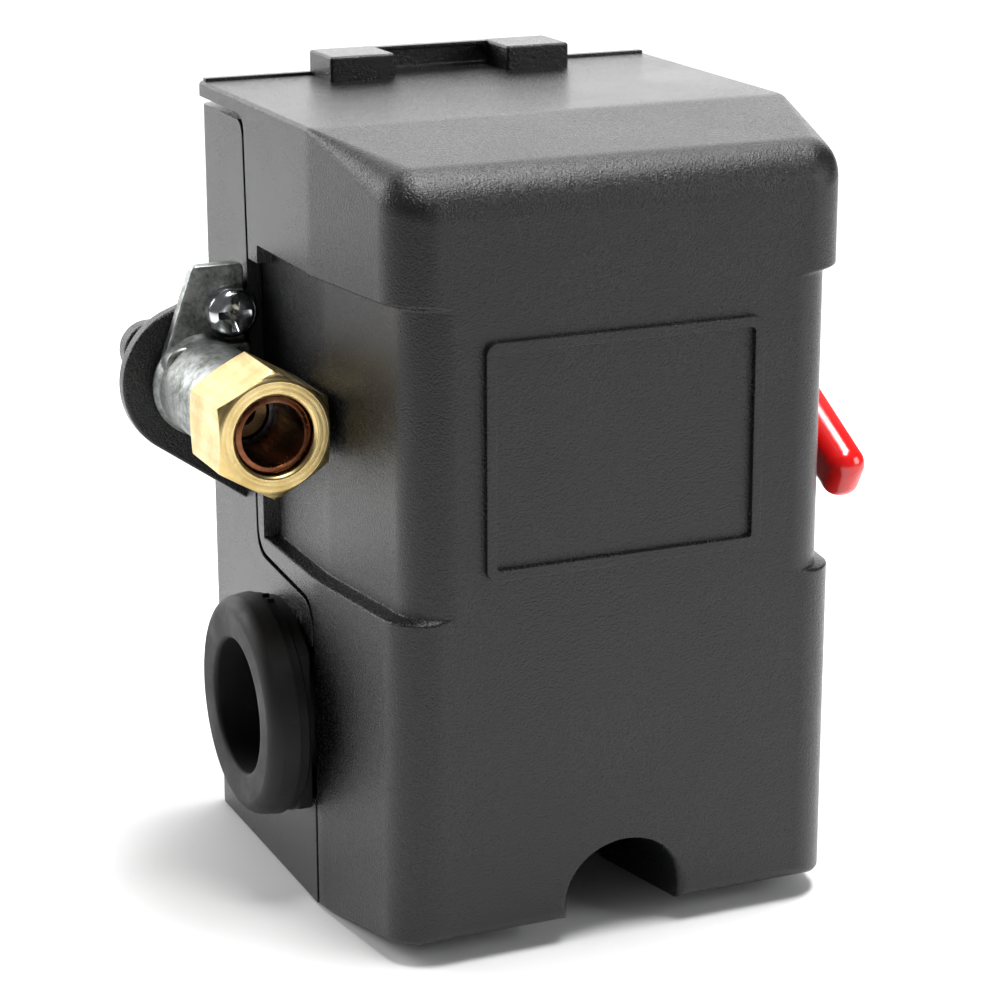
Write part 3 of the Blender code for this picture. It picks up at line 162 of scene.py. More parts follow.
LUG_RADIUS = 10.0
LUG_BOSS = 3.8
ARM_FRONT = DEPTH - 8.5
ARM_THICK = 3.0
ARM_RADIUS = 3.8
ARM_Z = VALVE_Z + 2.8
ARM_TIP = VALVE_X - 4.0
BOSS_REAR = ARM_FRONT - 2.6
WINDOW_FRONT = 2.5  # room round the arm in the side of the base
WINDOW_BELOW = 1.5
WINDOW_ABOVE = 3.5
WINDOW_REAR = 1.0  # how far the window stays clear of the back wall
LEVER_X = HALF + 3.5
LEVER_THICK = 1.6
LEVER_Y = DEPTH - 10.5
LEVER_Z = HEIGHT - 26.0
LEVER_SLOPE = 28.0
LEVER_LENGTH = 46.0
LEVER_HALF = 2.5
LEVER_HUB = 6.0
GRIP_LENGTH = 27.0
GRIP_HALF = 3.6
GRIP_WALL = 1.5
SHAFT_RADIUS = 3.0
SHAFT_NECK = 2.0
SHAFT_HEAD = 3.6
SCREW_RADIUS = 1.75
SCREW_HOLE = SCREW_RADIUS + GAP

TURN_TO = {
    "X": Matrix(((0, 0, 1), (1, 0, 0), (0, 1, 0))),
    "Y": Matrix(((1, 0, 0), (0, 0, 1), (0, 1, 0))),
    "Z": Matrix.Identity(3),
}


# ---------------------------------------------------------------- shapes


def spot(axis, across, up, along):
    """A point from its two coordinates across an axis and its distance along it."""
    return {
        "X": Vector((along, across, up)),
        "Y": Vector((across, along, up)),
        "Z": Vector((across, up, along)),
    }[axis]


def shape(bm):
    bmesh.ops.recalc_face_normals(bm, faces=bm.faces)
    mesh = bpy.data.meshes.new("shape")
    bm.to_mesh(mesh)
    bm.free()
    item = bpy.data.objects.new("shape", mesh)
    bpy.context.scene.collection.objects.link(item)
    return item


def prism(outline, axis, start, end):
    bm = bmesh.new()
    face = bm.faces.new([bm.verts.new(spot(axis, u, v, start)) for u, v in outline])
    grown = bmesh.ops.extrude_face_region(bm, geom=[face])
    tips = [item for item in grown["geom"] if isinstance(item, bmesh.types.BMVert)]
    bmesh.ops.translate(bm, verts=tips, vec=spot(axis, 0, 0, end - start))
    return shape(bm)


def block(x, y, z):
    return prism([(x[0], y[0]), (x[1], y[0]), (x[1], y[1]), (x[0], y[1])], "Z", z[0], z[1])


def turned(profile, axis, across, up, steps=64):
    """A profile of (radius, distance) points turned about a line along an axis."""
    bm = bmesh.new()
    points = [bm.verts.new(Vector((radius, 0, along))) for radius, along in profile]
    pairs = list(zip(points, points[1:]))
    if min(radius for radius, _ in profile) > 0:
        pairs.append((points[-1], points[0]))
    edges = [bm.edges.new(pair) for pair in pairs]
    turn = 2 * math.pi
    bmesh.ops.spin(
        bm, geom=points + edges, cent=(0, 0, 0), axis=(0, 0, 1), angle=turn, steps=steps, use_merge=True
    )
    bmesh.ops.remove_doubles(bm, verts=bm.verts, dist=1e-4)
    bmesh.ops.transform(bm, matrix=TURN_TO[axis].to_4x4(), verts=bm.verts)
    bmesh.ops.translate(bm, verts=bm.verts, vec=spot(axis, across, up, 0))
    return shape(bm)


def rod(radius, axis, across, up, start, end, steps=48):
    return turned([(0, start), (radius, start), (radius, end), (0, end)], axis, across, up, steps)


def rounded(corners, segments=6):
    """An outline from (across, up, radius) corners, each rounded unless its radius is zero."""
    outline = []
    for index, (across, up, radius) in enumerate(corners):
        here = Vector((across, up))
        if not radius:
            outline.append(tuple(here))
            continue
        back = (Vector(corners[index - 1][:2]) - here).normalized()
        ahead = (Vector(corners[(index + 1) % len(corners)][:2]) - here).normalized()
        half = back.angle(ahead) / 2
        middle = here + (back + ahead).normalized() * (radius / math.sin(half))
        first = here + back * (radius / math.tan(half)) - middle
        sweep = first.angle_signed(here + ahead * (radius / math.tan(half)) - middle)
        for step in range(segments + 1):
            outline.append(tuple(middle + Matrix.Rotation(-sweep * step / segments, 2) @ first))
    return outline


def round_rectangle(middle, size, radius, segments=6):
    (u, v), (width, height) = middle, size
    signs = ((-1, -1), (1, -1), (1, 1), (-1, 1))
    return rounded([(u + a * width / 2, v + b * height / 2, radius) for a, b in signs], segments)


def hexagon(middle, flats):
    """A hexagon with a corner at its top."""
    radius = flats / math.sqrt(3)
    angles = [math.pi / 2 + math.pi / 3 * side for side in range(6)]
    return [(middle[0] + radius * math.cos(a), middle[1] + radius * math.sin(a)) for a in angles]


def arc(middle, radius, first, last, segments=12):
    """Points about a middle from one angle to another, in degrees."""
    span = (last - first) / segments
    angles = [math.radians(first + span * step) for step in range(segments + 1)]
    return [(middle[0] + radius * math.cos(a), middle[1] + radius * math.sin(a)) for a in angles]


def softened_profile(points, radius, segments=4):
    """A turned profile with its inner corners rounded, as far as the shorter side of each lets it be."""
    nearly_straight = math.radians(165)
    most_of_side = 0.45
    made = [points[0]]
    for before, here, after in zip(points, points[1:], points[2:]):
        p, q, r = Vector(before), Vector(here), Vector(after)
        back, ahead = p - q, r - q
        if back.length < 1e-6 or ahead.length < 1e-6 or back.angle(ahead) > nearly_straight:
            made.append(here)
            continue
        reach = min(radius, back.length * most_of_side, ahead.length * most_of_side)
        start, end = q + back.normalized() * reach, q + ahead.normalized() * reach
        for step in range(segments + 1):
            t = step / segments
            made.append(tuple(start * (1 - t) ** 2 + q * 2 * t * (1 - t) + end * t**2))
    made.append(points[-1])
    return made


def loft(sections):
    """A closed solid through equal rings of points."""
    bm = bmesh.new()
    rings = [[bm.verts.new(point) for point in section] for section in sections]
    for one, two in zip(rings, rings[1:]):
        for index in range(len(one)):
            after = (index + 1) % len(one)
            bm.faces.new((one[index], one[after], two[after], two[index]))
    bm.faces.new(rings[0])
    bm.faces.new(rings[-1])
    return shape(bm)


def baked(item):
    bpy.context.view_layer.update()
    mesh = bpy.data.meshes.new_from_object(item.evaluated_get(bpy.context.evaluated_depsgraph_get()))
    item.modifiers.clear()
    item.data = mesh
    return item


def combined(item, tools, operation):
    for tool in tools:
        modifier = item.modifiers.new(operation.lower(), "BOOLEAN")
        modifier.operation = operation
        modifier.solver = "EXACT"
        modifier.object = tool
    baked(item)
    for tool in tools:
        bpy.data.objects.remove(tool, do_unlink=True)
    return item


def joined(item, *others):
    return combined(item, others, "UNION")


def cut(item, *tools):
    return combined(item, tools, "DIFFERENCE")


def common(item, *tools):
    return combined(item, tools, "INTERSECT")


def cleaned(item, near=0.01):
    """The object with the slivers and the splits of flat faces that a Boolean leaves taken out."""
    bm = bmesh.new()
    bm.from_mesh(item.data)
    bmesh.ops.remove_doubles(bm, verts=bm.verts, dist=near)
    bmesh.ops.dissolve_limit(bm, angle_limit=math.radians(0.2), verts=bm.verts, edges=bm.edges)
    bmesh.ops.dissolve_degenerate(bm, edges=bm.edges, dist=near)
    bm.to_mesh(item.data)
    bm.free()
    return item


def softened(item, width, segments=3, angle=38.0):
    """The object with its sharp edges rounded."""
    cleaned(item)
    modifier = item.modifiers.new("soften", "BEVEL")
    modifier.width = width
    modifier.segments = segments
    modifier.limit_method = "ANGLE"
    modifier.angle_limit = math.radians(angle)
    modifier.use_clamp_overlap = True
    modifier.miter_outer = "MITER_ARC"
    return baked(item)


def coil(axis, across, up, radius, wire, start, end, turns, steps=40):
    """A round wire wound about a line along an axis, with its end turns closed up."""
    count = turns * steps
    closed_up = 0.55
    low, high = start + wire, end - wire
    curve = bpy.data.curves.new("coil", "CURVE")
    curve.dimensions = "3D"
    curve.bevel_depth = wire
    curve.bevel_resolution = 3
    curve.use_fill_caps = True
    spline = curve.splines.new("POLY")
    spline.points.add(count)
    for index in range(count + 1):
        share = index / count
        closing = closed_up * math.sin(2 * math.pi * share) / (2 * math.pi)
        angle = 2 * math.pi * index / steps
        along = low + (high - low) * (share - closing)
        place = spot(axis, across + radius * math.cos(angle), up + radius * math.sin(angle), along)
        spline.points[index].co = (*place, 1)
    wound = bpy.data.objects.new("coil", curve)
    bpy.context.scene.collection.objects.link(wound)
    bpy.context.view_layer.update()
    mesh = bpy.data.meshes.new_from_object(wound.evaluated_get(bpy.context.evaluated_depsgraph_get()))
    bpy.data.objects.remove(wound, do_unlink=True)
    bm = bmesh.new()
    bm.from_mesh(mesh)
    bmesh.ops.remove_doubles(bm, verts=bm.verts, dist=1e-4)
    return shape(bm)


def placed(item):
    """The object's mesh turned from case millimetres into metres in the row's frame."""
    item.data.transform(Matrix.Scale(MM, 4) @ Matrix.Translation(SHIFT))
    return item


def piece(name, item, look, body, *nodes, smooth=32.0):
    """Names a finished shape, gives it its material, and lets it stand for its CAD nodes on a body."""
    placed(item)
    item.name = name
    item.data.name = name
    item.data.materials.clear()
    item.data.materials.append(LOOKS[look]())
    item.data.shade_smooth()
    item.data.set_sharp_from_angle(angle=math.radians(smooth))
    weighted = item.modifiers.new("normals", "WEIGHTED_NORMAL")
    weighted.keep_sharp = True
    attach(item, body)
    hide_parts(*nodes)
    return item


# ---------------------------------------------------------------- materials


class Nodes:
    """A material's node tree, with short calls for the nodes used here."""

    def __init__(self, name):
        self.material = bpy.data.materials.new(name)
        self.material.use_nodes = True
        self.tree = self.material.node_tree
        self.shader = self.tree.nodes["Principled BSDF"]
        self.where = self.tree.nodes.new("ShaderNodeTexCoord").outputs["Object"]

    def link(self, source, target):
        self.tree.links.new(source, target)

    def noise(self, scale, detail=2.0, rough=0.5, vector=None):
        node = self.tree.nodes.new("ShaderNodeTexNoise")
        node.inputs["Scale"].default_value = scale
        node.inputs["Detail"].default_value = detail
        node.inputs["Roughness"].default_value = rough
        self.link(vector or self.where, node.inputs["Vector"])
        return node.outputs["Fac"]

    def stretched(self, scale, middle=(0, 0, 0)):
        """Coordinates measured from a point and scaled by different amounts along each axis."""
        node = self.tree.nodes.new("ShaderNodeMapping")
        node.inputs["Scale"].default_value = scale
        node.inputs["Location"].default_value = [-c * s for c, s in zip(middle, scale)]
        self.link(self.where, node.inputs["Vector"])
        return node.outputs["Vector"]

    def rings(self, middle, scale, distortion=0.0):
        """Rings about a line along Y through a point: the marks that a lathe leaves."""
        node = self.tree.nodes.new("ShaderNodeTexWave")
        node.wave_type = "RINGS"
        node.rings_direction = "Y"
        node.inputs["Scale"].default_value = scale
        node.inputs["Distortion"].default_value = distortion
        self.link(self.stretched((1, 1, 1), middle=middle), node.inputs["Vector"])
        return node.outputs["Fac"]

    def ramp(self, source, low, high, start=0.35, end=0.65):
        """A value between two limits where the source passes from start to end."""
        node = self.tree.nodes.new("ShaderNodeMapRange")
        node.inputs["From Min"].default_value = start
        node.inputs["From Max"].default_value = end
        node.inputs["To Min"].default_value = low
        node.inputs["To Max"].default_value = high
        self.link(source, node.inputs["Value"])
        return node.outputs["Result"]

    def sum(self, one, two):
        node = self.tree.nodes.new("ShaderNodeMath")
        node.operation = "ADD"
        self.link(one, node.inputs[0])
        self.link(two, node.inputs[1])
        return node.outputs[0]

    def colours(self, source, *stops):
        """Colours at places from 0 to 1 of a value."""
        node = self.tree.nodes.new("ShaderNodeValToRGB")
        band = node.color_ramp.elements
        while len(band) < len(stops):
            band.new(0.5)
        for element, (place, colour) in zip(band, stops):
            element.position = place
            element.color = (*colour, 1)
        self.link(source, node.inputs["Fac"])
        self.link(node.outputs["Color"], self.shader.inputs["Base Color"])

    def rough(self, source):
        self.link(source, self.shader.inputs["Roughness"])

    def bump(self, *layers):
        """Height layers of (value, depth in millimetres, strength), one on top of the other."""
        normal = None
        for source, depth, strength in layers:
            node = self.tree.nodes.new("ShaderNodeBump")
            node.inputs["Distance"].default_value = depth * MM
            node.inputs["Strength"].default_value = strength
            self.link(source, node.inputs["Height"])
            if normal:
                self.link(normal, node.inputs["Normal"])
            normal = node.outputs["Normal"]
        self.link(normal, self.shader.inputs["Normal"])

    def set(self, **values):
        for name, value in values.items():
            self.shader.inputs[name.replace("_", " ")].default_value = value
        return self.material


def kept(make):
    """A material that is made once and then shared."""
    made = []

    def get():
        if not made:
            made.append(make())
        return made[0]

    return get


@kept
def black_plastic():
    """Glass-filled plastic from a spark-eroded mould: even satin with a fine sparkling grain."""
    m = Nodes("black_plastic_moulded")
    grain = m.noise(4000, 2.5, 0.65)
    smudge = m.noise(60, 3.0, 0.55)
    m.colours(smudge, (0.3, (0.0055, 0.0055, 0.006)), (0.7, (0.0085, 0.0085, 0.009)))
    m.rough(m.sum(m.ramp(smudge, 0.21, 0.27), m.ramp(grain, -0.05, 0.05)))
    m.bump((m.noise(90, 2.0), 0.03, 0.15), (grain, 0.11, 1.0))
    return m.set(IOR=1.43)


@kept
def black_rubber():
    """Matt black rubber with a little dust and fine pits."""
    m = Nodes("black_rubber_matt")
    dust = m.noise(170, 5.0, 0.65)
    m.colours(
        dust,
        (0.35, (0.0035, 0.0037, 0.0037)),
        (0.62, (0.006, 0.0062, 0.0062)),
        (0.8, (0.022, 0.022, 0.020)),
    )
    m.rough(m.ramp(dust, 0.50, 0.68))
    m.bump((m.noise(260, 3.0), 0.10, 0.4), (m.noise(2600, 2.0), 0.03, 0.8))
    return m.set(IOR=1.34)


@kept
def zinc_plate():
    """Bright zinc-plated sheet with faint rolling lines and a mottled bloom."""
    m = Nodes("zinc_plated_steel")
    bloom = m.noise(220, 6.0, 0.62)
    lines = m.noise(1.0, 3.0, 0.6, m.stretched((160, 160, 4200)))
    m.colours(bloom, (0.3, (0.42, 0.44, 0.42)), (0.5, (0.60, 0.62, 0.60)), (0.72, (0.72, 0.73, 0.71)))
    m.rough(m.sum(m.ramp(bloom, 0.26, 0.42), m.ramp(lines, -0.06, 0.06)))
    m.bump((lines, 0.012, 0.4), (bloom, 0.02, 0.3))
    return m.set(Metallic=1.0)


@kept
def die_cast():
    """Zinc die casting with dark blotches and a soft cast skin."""
    m = Nodes("zinc_die_casting")
    blotch = m.noise(330, 7.0, 0.68)
    skin = m.noise(1500, 3.0, 0.6)
    m.colours(
        m.sum(blotch, m.ramp(skin, -0.06, 0.06)),
        (0.30, (0.055, 0.062, 0.055)),
        (0.44, (0.19, 0.205, 0.19)),
        (0.58, (0.35, 0.36, 0.36)),
        (0.78, (0.50, 0.50, 0.53)),
    )
    m.rough(m.ramp(blotch, 0.52, 0.34))
    m.bump((m.noise(420, 3.0), 0.10, 0.30), (skin, 0.03, 0.5))
    return m.set(Metallic=0.92)


NUT_MIDDLE = (Vector((VALVE_X, 0, VALVE_Z)) + SHIFT) * MM


@kept
def brass():
    """Turned brass: fine rings about the nut's axis and a few darker stains."""
    m = Nodes("turned_brass")
    rings = m.rings(NUT_MIDDLE, 520, 0.6)
    fine = m.rings(NUT_MIDDLE, 1900, 0.3)
    stain = m.noise(190, 4.0, 0.6)
    m.colours(stain, (0.3, (0.50, 0.36, 0.135)), (0.55, (0.66, 0.51, 0.235)), (0.8, (0.76, 0.62, 0.34)))
    m.rough(m.sum(m.ramp(stain, 0.34, 0.24), m.ramp(rings, -0.03, 0.05)))
    m.bump((rings, 0.016, 0.5), (fine, 0.006, 0.5), (m.noise(900, 3.0), 0.008, 0.25))
    return m.set(Metallic=1.0)


@kept
def plain_brass():
    """Stamped brass of the terminals."""
    m = Nodes("stamped_brass")
    stain = m.noise(260, 4.0, 0.6)
    m.colours(stain, (0.3, (0.60, 0.44, 0.19)), (0.7, (0.82, 0.66, 0.34)))
    m.rough(m.ramp(stain, 0.24, 0.38))
    m.bump((m.noise(1.0, 3.0, 0.6, m.stretched((300, 300, 3600))), 0.008, 0.4))
    return m.set(Metallic=1.0)


@kept
def copper():
    """Drawn copper alloy, tarnished to a reddish brown, with marks along the tube."""
    m = Nodes("tarnished_copper")
    stain = m.noise(240, 4.0, 0.6)
    marks = m.noise(1.0, 3.0, 0.6, m.stretched((2600, 160, 2600)))
    m.colours(stain, (0.3, (0.07, 0.022, 0.009)), (0.55, (0.19, 0.070, 0.034)), (0.8, (0.40, 0.20, 0.12)))
    m.rough(m.sum(m.ramp(stain, 0.24, 0.38), m.ramp(marks, -0.05, 0.05)))
    m.bump((marks, 0.010, 0.4))
    return m.set(Metallic=1.0)


@kept
def spring_steel():
    """Oiled spring wire with drawing lines."""
    m = Nodes("spring_wire")
    film = m.noise(420, 4.0, 0.6)
    m.colours(film, (0.3, (0.17, 0.17, 0.18)), (0.7, (0.42, 0.42, 0.43)))
    m.rough(m.ramp(film, 0.22, 0.36))
    m.bump((m.noise(3200, 2.0), 0.006, 0.5))
    return m.set(Metallic=1.0)


@kept
def bright_steel():
    """Bright plating with faint blue-grey clouds and small dings."""
    m = Nodes("bright_plating")
    cloud = m.noise(480, 4.0, 0.6)
    m.colours(cloud, (0.3, (0.52, 0.55, 0.57)), (0.7, (0.80, 0.82, 0.83)))
    m.rough(m.ramp(cloud, 0.10, 0.20))
    m.bump((m.noise(700, 3.0), 0.012, 0.30))
    return m.set(Metallic=1.0)


@kept
def red_vinyl():
    """Dipped soft vinyl: deep glossy red with a faint orange-peel surface."""
    m = Nodes("red_dipped_vinyl")
    depth = m.noise(120, 3.0, 0.5)
    m.colours(depth, (0.3, (0.60, 0.006, 0.006)), (0.7, (0.74, 0.012, 0.012)))
    m.rough(m.ramp(depth, 0.16, 0.24))
    m.bump((m.noise(420, 2.0), 0.03, 0.22))
    m.set(Coat_Weight=0.35, Coat_Roughness=0.12)
    return m.set(IOR=1.5, Subsurface_Weight=0.12, Subsurface_Scale=0.0015)


@kept
def green_screw():
    """Green lacquer over steel, a little uneven in colour."""
    m = Nodes("green_lacquer")
    coat = m.noise(500, 4.0, 0.6)
    m.colours(coat, (0.3, (0.010, 0.17, 0.045)), (0.7, (0.025, 0.30, 0.085)))
    m.rough(m.ramp(coat, 0.28, 0.42))
    m.bump((m.noise(1400, 2.0), 0.010, 0.4))
    return m.set(Metallic=0.6)


@kept
def white_nylon():
    """Natural nylon, waxy and a little uneven."""
    m = Nodes("natural_nylon")
    wax = m.noise(110, 4.0, 0.6)
    m.colours(wax, (0.3, (0.66, 0.64, 0.56)), (0.7, (0.80, 0.78, 0.71)))
    m.rough(m.ramp(wax, 0.40, 0.54))
    m.bump((m.noise(1500, 2.0), 0.015, 0.5))
    return m.set(Subsurface_Weight=0.15, Subsurface_Scale=0.001)


@kept
def phenolic():
    """Moulded phenolic: brown-black with pale filler specks."""
    m = Nodes("moulded_phenolic")
    specks = m.noise(2200, 3.0, 0.7)
    m.colours(
        specks,
        (0.35, (0.024, 0.016, 0.012)),
        (0.66, (0.050, 0.034, 0.025)),
        (0.8, (0.12, 0.09, 0.07)),
    )
    m.rough(m.ramp(m.noise(90, 3.0), 0.38, 0.54))
    m.bump((specks, 0.02, 0.5))
    return m.set(IOR=1.55)


LOOKS = {
    "black_plastic": black_plastic,
    "black_rubber": black_rubber,
    "zinc_plate": zinc_plate,
    "die_cast": die_cast,
    "brass": brass,
    "copper": copper,
    "spring_steel": spring_steel,
    "bright_steel": bright_steel,
    "red_vinyl": red_vinyl,
    "green_screw": green_screw,
    "white_nylon": white_nylon,
    "phenolic": phenolic,
}


# ---------------------------------------------------------------- case


def draw(y):
    """How far the cover is drawn in at a depth: all of it at the front, none behind the softened crease."""
    if y > CREASE + CREASE_SOFT:
        return 0.0
    if y < CREASE - CREASE_SOFT:
        return 1 - y / CREASE
    return (CREASE + CREASE_SOFT - y) ** 2 / (4 * CREASE_SOFT * CREASE)


def shoulder(outer, inner, z, rise, steps=8):
    """The smooth slope of the waist's end, from its outer to its inner side."""
    points = []
    for step in range(steps + 1):
        share = step / steps
        smooth = 0.5 - 0.5 * math.cos(math.pi * share)
        smooth = smooth * smooth * (3 - 2 * smooth)
        points.append((outer + (inner - outer) * smooth, z - rise + 2 * rise * share))
    return points


def cover_section(y, inset, rim):
    """The cover's outline across the case at a depth, drawn in by a wall thickness."""
    taper = draw(y)
    radius = FRONT_RADIUS - inset
    into = max(0.0, radius - (y - inset))
    edge = radius - math.sqrt(max(0.0, radius**2 - into**2))
    foot = max(0.0, BOTTOM_RADIUS - (y - inset))
    heel = BOTTOM_RADIUS - math.sqrt(max(0.0, BOTTOM_RADIUS**2 - foot**2))
    side = HALF - SIDE_DRAW * taper - inset - edge
    top = HEIGHT - END_DRAW * taper - inset - edge
    bottom = END_DRAW * taper + inset + heel
    corner = max(CORNER_RADIUS + (FRONT_RADIUS - CORNER_RADIUS) * taper - edge, CORNER_RADIUS)
    waist = side - (0.0 if rim else WAIST_DEPTH)
    low, high = WAIST_LOW - inset, WAIST_HIGH + inset
    right = arc((side - CORNER_RADIUS, bottom + CORNER_RADIUS), CORNER_RADIUS, -90, 0, 4)
    right += shoulder(side, waist, low, STEP_RISE)
    right += [(x, 2 * high - z) for x, z in reversed(shoulder(side, waist, high, STEP_RISE))]
    right += arc((side - corner, top - corner), corner, 0, 90, 8)
    left = [(-x, z) for x, z in reversed(right)]
    return [(x, y, z) for x, z in right + left]


def cover_form(inset, rear):
    """The cover as a solid lofted along its depth, drawn in by an inset."""
    radius = FRONT_RADIUS - inset
    steps = 12
    rim_step = 0.3
    depths = [inset + radius * (1 - math.cos(math.pi / 2 * step / steps)) for step in range(steps + 1)]
    depths += [CREASE + CREASE_SOFT * share for share in (-1, -0.5, 0, 0.5, 1)]
    sections = [cover_section(y, inset, False) for y in depths]
    if inset:
        sections.append(cover_section(rear, inset, False))
        return loft(sections)
    rim = SPLIT_MID - RIM_WIDTH + (SPLIT_TOP - SPLIT_MID) / 2
    sections.append(cover_section(rim, inset, False))
    sections += [cover_section(depth, inset, True) for depth in (rim + rim_step, rear)]
    return loft(sections)


def behind_parting(shift, top):
    """The side outline of everything behind the parting line."""
    low = 0.0 if shift else -PAST
    rear = DEPTH + PAST
    return rounded(
        [
            (SPLIT_LOW + shift, low, 0),
            (SPLIT_LOW + shift, STEP_FRONT - shift, STEP_RADIUS),
            (SPLIT_MID + shift, STEP_REAR - shift, STEP_RADIUS),
            (SPLIT_TOP + shift, top, LIP_RADIUS),
            (rear, top, 0),
            (rear, low, 0),
        ],
        8,
    )


def notch_outline(radius):
    """A half-round arch that runs on down past the underside."""
    return [(radius, -PAST), *arc((0, NOTCH_Z), radius, 0, 180, 40), (-radius, -PAST)]


def notch_cutter():
    """The tunnel through the cover's foot, flared where it meets the front face."""
    sections = []
    steps = 6
    for step in range(steps + 1):
        angle = math.pi / 2 * step / steps
        wider = NOTCH_FLARE * (1 - math.sin(angle))
        y = NOTCH_FLARE * (1 - math.cos(angle))
        sections.append([(x, y, z - wider) for x, z in notch_outline(NOTCH_RADIUS + wider)])
    sections.insert(0, [(x, -PAST, z) for x, _, z in sections[0]])
    sections.append([(x, SPLIT_LOW + PAST, z) for x, z in notch_outline(NOTCH_RADIUS)])
    return loft(sections)


def panel_frame():
    """The thin raised frame on the front face, left blank inside."""
    inner = (PANEL_SIZE[0] - 2 * PANEL_RIM, PANEL_SIZE[1] - 2 * PANEL_RIM)
    rim = prism(round_rectangle(PANEL_MIDDLE, PANEL_SIZE, PANEL_RADIUS), "Y", -PANEL_PROUD, BITE)
    inside = prism(round_rectangle(PANEL_MIDDLE, inner, PANEL_INSIDE_RADIUS, 4), "Y", -PAST, PAST)
    return softened(cut(rim, inside), PANEL_EDGE, 2, 50)


def loop_on_lip():
    """Two blocks, the bar that joins them and the low bead along the lip's rear edge."""
    front, low, high = DEPTH - LOOP_DEPTH, HEIGHT - BITE, HEIGHT + LOOP_RISE
    outer = LOOP_INNER + LOOP_BLOCK
    rear = DEPTH - LOOP_INSET
    spans = ((LOOP_INNER, outer), (-outer, -LOOP_INNER))
    shapes = [softened(block(span, (front, rear), (low, high)), LARGE_EDGE, 3) for span in spans]
    side, sill, head = LOOP_INNER - 0.02, HEIGHT + RECESS_SILL, high - RECESS_HEAD
    recess = rounded([(-side, sill, 0.3), (side, sill, 0.3), (side, head, 1.3), (-side, head, 1.3)])
    bar_front = DEPTH - LOOP_BAR
    bar = block((-LOOP_INNER - BITE, LOOP_INNER + BITE), (bar_front, rear - 0.1), (low, high - 0.05))
    bar = cut(bar, prism(recess, "Y", bar_front - PAST, bar_front + RECESS_DEPTH))
    shapes.append(softened(bar, 0.14, 2))
    reach = HALF - 0.5
    bead = block((-reach, reach), (DEPTH - 1.3, DEPTH - 0.1), (low, HEIGHT + BEAD_RISE))
    shapes.append(softened(bead, 0.15, 2))
    return shapes


def front_cover():
    """The shell, cut along the parting line, for the notch and for the valve's side."""
    hollow = cut(
        cover_form(WALL, DEPTH + PAST),
        prism(notch_outline(NOTCH_RADIUS + NOTCH_WALL), "Y", -PAST, DEPTH + 2 * PAST),
    )
    cover = cut(
        cover_form(0.0, DEPTH),
        hollow,
        prism(behind_parting(0.0, HEIGHT - LIP), "X", -HALF - PAST, HALF + PAST),
        notch_cutter(),
        block(
            (-HALF - PAST, -HALF + WAIST_DEPTH),
            (SPLIT_MID - RIM_WIDTH, DEPTH),
            (VALVE_Z - VALVE_RADIUS - VALVE_ROOM, WAIST_HIGH - VALVE_ROOM),
        ),
    )
    cover = softened(cover, EDGE, 3)
    cover = joined(cover, panel_frame(), *loop_on_lip())
    return piece("cover_shell", cover, "black_plastic", "cover", "front_cover")


def grommet_slot(side):
    """The slot that takes a grommet's neck, open towards the parting line."""
    reach = GROMMET_NECK + GAP
    outline = [(SPLIT_LOW - PAST, GROMMET_Z - reach)]
    outline += arc((GROMMET_Y, GROMMET_Z), reach, -90, 90, 24)
    outline.append((SPLIT_LOW - PAST, GROMMET_Z + reach))
    return prism(outline, "X", side * (HALF - WALL - PAST), side * (HALF + PAST))


def valve_lug():
    """The round-ended lug on the left side and the boss behind it."""
    inner = -HALF + WALL / 2
    rim = arc((VALVE_X, VALVE_Z), LUG_RADIUS, 110, 235, 40)
    slope_up, slope_down = math.tan(math.radians(20)), math.tan(math.radians(35))
    outline = [(inner, rim[0][1] + (inner - rim[0][0]) * slope_up), *rim]
    outline.append((inner, rim[-1][1] - (inner - rim[-1][0]) * slope_down))
    lug = softened(prism(outline, "Y", LUG_FRONT, LUG_REAR), LARGE_EDGE, 3, 50)
    start = LUG_FRONT + BITE
    profile = [(0, start), (LUG_BOSS, start), (LUG_BOSS, BOSS_REAR), (0, BOSS_REAR)]
    return joined(lug, turned(softened_profile(profile, LARGE_EDGE), "Y", *EAR_SCREW))


def countersink(x):
    """A countersunk screw hole through the floor of the base."""
    depth = COUNTERSINK_RIM + COUNTERSINK - SCREW_HOLE
    profile = [(0, -PAST), (COUNTERSINK, -PAST), (COUNTERSINK, COUNTERSINK_RIM), (SCREW_HOLE, depth)]
    profile += [(SCREW_HOLE, FLOOR + PAST), (0, FLOOR + PAST)]
    return turned(profile, "Z", x, PORT_Y)


